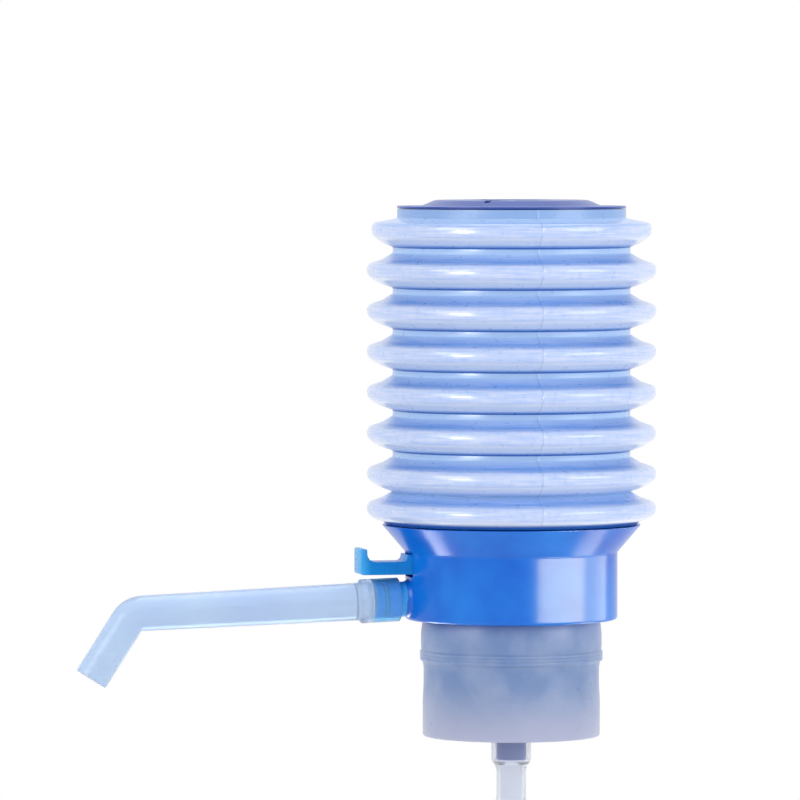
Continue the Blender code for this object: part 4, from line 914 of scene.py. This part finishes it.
def makeLever(part):
    headInner = part["reach"] - part["headThickness"]
    corners = (
        (part["reach"], part["barBottom"], 1.0), (part["reach"], part["headTop"], 0.7),
        (headInner, part["headTop"], 0.7), (headInner, part["barTop"], 3.0),
        (part["rootReach"], part["barTop"], 1.8), (part["rootReach"], part["rootTop"], 0.4),
        (part["rootEnd"], part["rootTop"], 1.0), (part["rootEnd"], part["armTop"], 1.0),
        (part["armEnd"], part["armTop"], 0.5), (part["armEnd"], part["armBottom"], 0.5),
        (part["rootEnd"], part["armBottom"], 0.4), (part["pinAt"], part["barBottom"], 1.0),
    )
    shape = bmesh.new()
    half = part["width"] / 2 * mm
    points = [shape.verts.new((-corner[0] * mm, -half, corner[1] * mm)) for corner in corners]
    shape.faces.new(points)
    for point, corner in zip(points, corners):
        bmesh.ops.bevel(
            shape, geom=[point], offset=corner[2] * mm, affect="VERTICES",
            segments=arcSegments + 2, profile=0.5, material=-1,
        )
    grown = bmesh.ops.extrude_face_region(shape, geom=shape.faces[:])
    moved = [item for item in grown["geom"] if isinstance(item, bmesh.types.BMVert)]
    bmesh.ops.translate(shape, vec=(0, 2 * half, 0), verts=moved)
    bmesh.ops.recalc_face_normals(shape, faces=shape.faces)
    rims = [edge for edge in shape.edges if abs(edge.verts[0].co.y - edge.verts[1].co.y) < mergeDistance]
    bmesh.ops.bevel(
        shape, geom=rims, offset=part["edgeRound"] * mm, affect="EDGES", segments=3, profile=0.5, material=-1,
    )
    key = makeObject("releaseKey", shape, leverPlastic)
    cut(key, pinRod(part, part["width"], part["pinHole"]))
    smoothPiece(key)
    settle(key, "lever", "cyan_plastic", "release_lever")


makeLever(lever)


# Spring between the lever's inner arm and the ceiling of its pocket

spring = {
    "radius": 1.6, "wire": 0.2, "turns": 3, "place": 24.0, "low": 33.1, "high": 35.7,
    "pointsPerTurn": 24, "sides": 10, "fixedEnd": 35.9, "pressed": 0.8,
}


def makeSpring(part):
    shape = bmesh.new()
    count = part["turns"] * part["pointsPerTurn"]
    rings = []
    for index in range(count + 1):
        angle = 2 * pi * index / part["pointsPerTurn"]
        outward = Vector((cos(angle), sin(angle), 0))
        height = part["low"] + (part["high"] - part["low"]) * index / count
        centre = outward * part["radius"] + Vector((-part["place"], 0, height))
        ring = []
        for side in range(part["sides"]):
            around = 2 * pi * side / part["sides"]
            offset = (outward * cos(around) + Vector((0, 0, sin(around)))) * part["wire"]
            ring.append(shape.verts.new((centre + offset) * mm))
        rings.append(ring)
    for near, far in zip(rings, rings[1:]):
        for side in range(part["sides"]):
            shape.faces.new((near[side - 1], near[side], far[side], far[side - 1]))
    shape.faces.new(rings[0])
    shape.faces.new(rings[-1])
    bmesh.ops.recalc_face_normals(shape, faces=shape.faces)
    coil = makeObject("leverSpringCoil", shape, springSteel)
    settle(coil, "pump_base", "steel", "lever_spring")
    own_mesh(coil)


makeSpring(spring)


# Spout: cuff, long tube, elbow and leg

spout = {
    "cuffStart": 39.3, "cuffEnd": 53.1, "cuffRadius": 7.45, "shoulder": 1.0, "edge": 0.2,
    "tubeRadius": 6.4, "elbowAt": 127.2, "elbowRadius": 6.0, "legRadius": 5.8, "bend": 55.0,
    "innerRound": 0.5, "legLength": 22.5, "wall": 1.5, "socketRadius": 6.3, "socketEnd": 48.5,
    "elbowSteps": 14, "steps": 72,
}


def straightStation(along, radius):
    # A station is (centre, direction, radius) in the spout's own frame, in mm
    out = Vector((0, 0, 1))
    return out * along, out, radius


def elbowStations(part):
    arm = part["elbowRadius"] + part["innerRound"]
    stations = []
    for step in range(part["elbowSteps"] + 1):
        share = step / part["elbowSteps"]
        angle = radians(part["bend"]) * share
        centre = Vector((-arm + arm * cos(angle), 0, part["elbowAt"] + arm * sin(angle)))
        radius = part["elbowRadius"] + (part["legRadius"] - part["elbowRadius"]) * share
        stations.append((centre, Vector((-sin(angle), 0, cos(angle))), radius))
    return stations


def makeSpout(part):
    elbow = elbowStations(part)
    lastCentre, lastDirection, lastRadius = elbow[-1]
    legEnd = lastCentre + lastDirection * part["legLength"]
    cuffRadius, tubeRadius, socketRadius = part["cuffRadius"], part["tubeRadius"], part["socketRadius"]
    shoulder, edge, wall = part["shoulder"], part["edge"], part["wall"]
    outer = [
        straightStation(part["cuffStart"], cuffRadius - edge),
        straightStation(part["cuffStart"] + edge, cuffRadius),
        straightStation(part["cuffEnd"] - shoulder, cuffRadius),
        straightStation(part["cuffEnd"] - 0.75 * shoulder, cuffRadius - 0.1),
        straightStation(part["cuffEnd"] - 0.3 * shoulder, tubeRadius + 0.4),
        straightStation(part["cuffEnd"], tubeRadius), *elbow,
        (legEnd - lastDirection * edge, lastDirection, lastRadius),
        (legEnd, lastDirection, lastRadius - edge),
    ]
    bore = [
        straightStation(part["cuffStart"], socketRadius + edge),
        straightStation(part["cuffStart"] + edge, socketRadius),
        straightStation(part["socketEnd"], socketRadius),
        straightStation(part["socketEnd"], tubeRadius - wall),
        *[(centre, direction, radius - wall) for centre, direction, radius in elbow],
        (legEnd, lastDirection, lastRadius - wall),
    ]
    shape = bmesh.new()
    circles = []
    for centre, direction, radius in outer + bore[::-1]:
        turn = direction.to_track_quat("Z", "Y").to_matrix().to_4x4()
        made = bmesh.ops.create_circle(
            shape, cap_ends=False, segments=part["steps"], radius=radius * mm,
            matrix=Matrix.Translation(centre * mm) @ turn,
        )
        ends = set(made["verts"])
        circles.append([rim for rim in shape.edges if ends.issuperset(rim.verts)])
    for near, far in zip(circles, circles[1:] + circles[:1]):
        bmesh.ops.bridge_loops(shape, edges=near + far)
    bmesh.ops.recalc_face_normals(shape, faces=shape.faces)
    bmesh.ops.transform(shape, matrix=spoutFrame(), verts=shape.verts)
    settle(makeObject("bentSpout", shape, spoutPlastic), "spout_arm", "clear_blue_plastic", "spout")


makeSpout(spout)


# Pieces whose solids stay

keptFinishes = {
    "valve_plate": innerPlastic, "bellows_clamp_ring": innerPlastic, "valve_plate_seal": greyRubber,
    "riser_seal": greyRubber, "cap_seal": greyRubber, "spout_seal": milkySilicone, "vent_pad": greyRubber,
    "lever_pin": springSteel,
}
for nodeName, finish in keptFinishes.items():
    nodeSlots = nodes[nodeName].material_slots
    if nodeSlots:
        nodeSlots[0].material = finish
    else:
        nodes[nodeName].data.materials.append(finish)
print("finishes on", len(keptFinishes), "kept pieces")


# Floor, camera and light

white = (1.0, 1.0, 1.0)
floor = {
    "level": -0.4700, "size": 3.0, "colour": (0.90, 0.90, 0.90, 1.0), "grain": (0.86, 0.86, 0.87, 1.0),
    "grainScale": 30.0, "roughness": 0.8, "seenGlow": 0.5,
}
room = {"strength": 0.57, "seenExtra": 0.43}


def seenRay(tree):
    # 1 for a ray that the camera, a glossy surface or a clear one sends out
    rays = addNode(tree, "ShaderNodeLightPath").outputs
    straight = mathNode(tree, "MAXIMUM", rays["Is Camera Ray"], rays["Is Glossy Ray"])
    return mathNode(tree, "MAXIMUM", straight, rays["Is Transmission Ray"])


def makeFloor(part):
    shape = bmesh.new()
    bmesh.ops.create_grid(shape, x_segments=1, y_segments=1, size=part["size"])
    bmesh.ops.translate(shape, vec=(0, 0, part["level"]), verts=shape.verts)
    material, tree, shader = startMaterial("paleFloor")
    grain = noiseNode(tree, objectPlace(tree), part["grainScale"], 2.0)
    tree.links.new(mixColour(tree, grain, part["grain"], part["colour"]), shader.inputs["Base Color"])
    shader.inputs["Roughness"].default_value = part["roughness"]
    shader.inputs["Emission Color"].default_value = (*white, 1.0)
    glow = mathNode(tree, "MULTIPLY", seenRay(tree), part["seenGlow"])
    tree.links.new(glow, shader.inputs["Emission Strength"])
    # From below, the floor lets the pump show
    sides = addNode(tree, "ShaderNodeMixShader", {
        0: addNode(tree, "ShaderNodeNewGeometry").outputs["Backfacing"],
        1: shader.outputs[0],
        2: addNode(tree, "ShaderNodeBsdfTransparent").outputs[0],
    })
    tree.links.new(sides.outputs[0], tree.nodes["Material Output"].inputs["Surface"])
    paleFloor = makeObject("paleFloor", shape, material)


makeFloor(floor)


camera = {
    "focalLength": 319.5, "sensor": 36.0, "distance": 2407.0, "height": 180.0, "round": 12.5,
    "yaw": 0.9, "pitch": 2.2, "clipEnd": 20.0,
}


def makeCamera(part):
    data = bpy.data.cameras.new("camera")
    data.lens = part["focalLength"]
    data.sensor_width = part["sensor"]
    data.clip_end = part["clipEnd"]
    item = linkObject("camera", data)
    around = radians(part["round"])
    distance = part["distance"]
    item.location = Vector((-sin(around) * distance, -cos(around) * distance, part["height"])) * mm
    # Straight towards the pump, then turned left and tipped down
    facing = Matrix.Rotation(radians(part["yaw"]) - around, 4, "Z")
    tipped = Matrix.Rotation(pi / 2 - radians(part["pitch"]), 4, "X")
    item.rotation_euler = (facing @ tipped).to_euler()
    bpy.context.scene.camera = item


makeCamera(camera)


# Lamps: name, degrees round to the right of the camera, metres out, up and aimed at, width and height,
# watts, colour. One with a piece is a reflector, which shows in its surface and lights nothing else.
lamps = (
    ("softLeft", -50.0, 1.40, 0.60, 0.06, (0.80, 0.80), 8.1, white, None),
    ("softRight", 62.0, 1.30, 0.35, 0.06, (0.80, 0.80), 7.5, white, None),
    ("softTop", 170.0, 0.35, 1.40, 0.06, (0.90, 0.90), 5.7, white, None),
    ("windowReflector", -39.5, 1.30, -0.12, 0.10, (0.36, 0.20), 9.0, white, "bellowsFolds"),
    ("rightReflector", 57.0, 0.80, -0.115, -0.115, (0.85, 0.32), 15.0, (1.0, 0.82, 0.32), "housingShell"),
    ("edgeReflector", 104.0, 0.80, -0.115, -0.115, (0.56, 0.30), 3.2, (1.0, 0.88, 0.42), "housingShell"),
    ("coneReflectorLeft", -132.0, 0.39, -0.40, 0.04, (0.42, 0.17), 1.9, white, "housingShell"),
    ("coneReflectorRight", 132.0, 0.39, -0.40, 0.04, (0.42, 0.17), 1.1, (1.0, 0.88, 0.55), "housingShell"),
)


def makeLamp(name, right, out, up, aimedAt, size, watts, colour, shownIn):
    data = bpy.data.lights.new(name, "AREA")
    data.shape = "RECTANGLE"
    data.size, data.size_y = size
    data.energy = watts
    data.color = colour
    lamp = linkObject(name, data)
    around = radians(right - camera["round"])
    lamp.location = (sin(around) * out, -cos(around) * out, up)
    aim = Vector((0, 0, aimedAt))
    lamp.rotation_euler = (aim - lamp.location).to_track_quat("-Z", "Y").to_euler()
    if shownIn:
        lamp.visible_camera = lamp.visible_diffuse = lamp.visible_transmission = False
        receivers = bpy.data.collections.new(name + "Receivers")
        receivers.objects.link(bpy.data.objects[shownIn])
        lamp.light_linking.receiver_collection = receivers


for lampRow in lamps:
    makeLamp(*lampRow)


def makeRoom(part):
    world = bpy.data.worlds.new("paleRoom")
    bpy.context.scene.world = world
    world.use_nodes = True
    tree = world.node_tree
    background = tree.nodes["Background"]
    background.inputs["Color"].default_value = (*white, 1.0)
    strength = mathNode(tree, "MULTIPLY_ADD", seenRay(tree), part["seenExtra"], part["strength"])
    tree.links.new(strength, background.inputs["Strength"])


makeRoom(room)
print("floor, camera and", len(lamps), "lamps placed")

bpy.context.scene.view_settings.view_transform = "Standard"
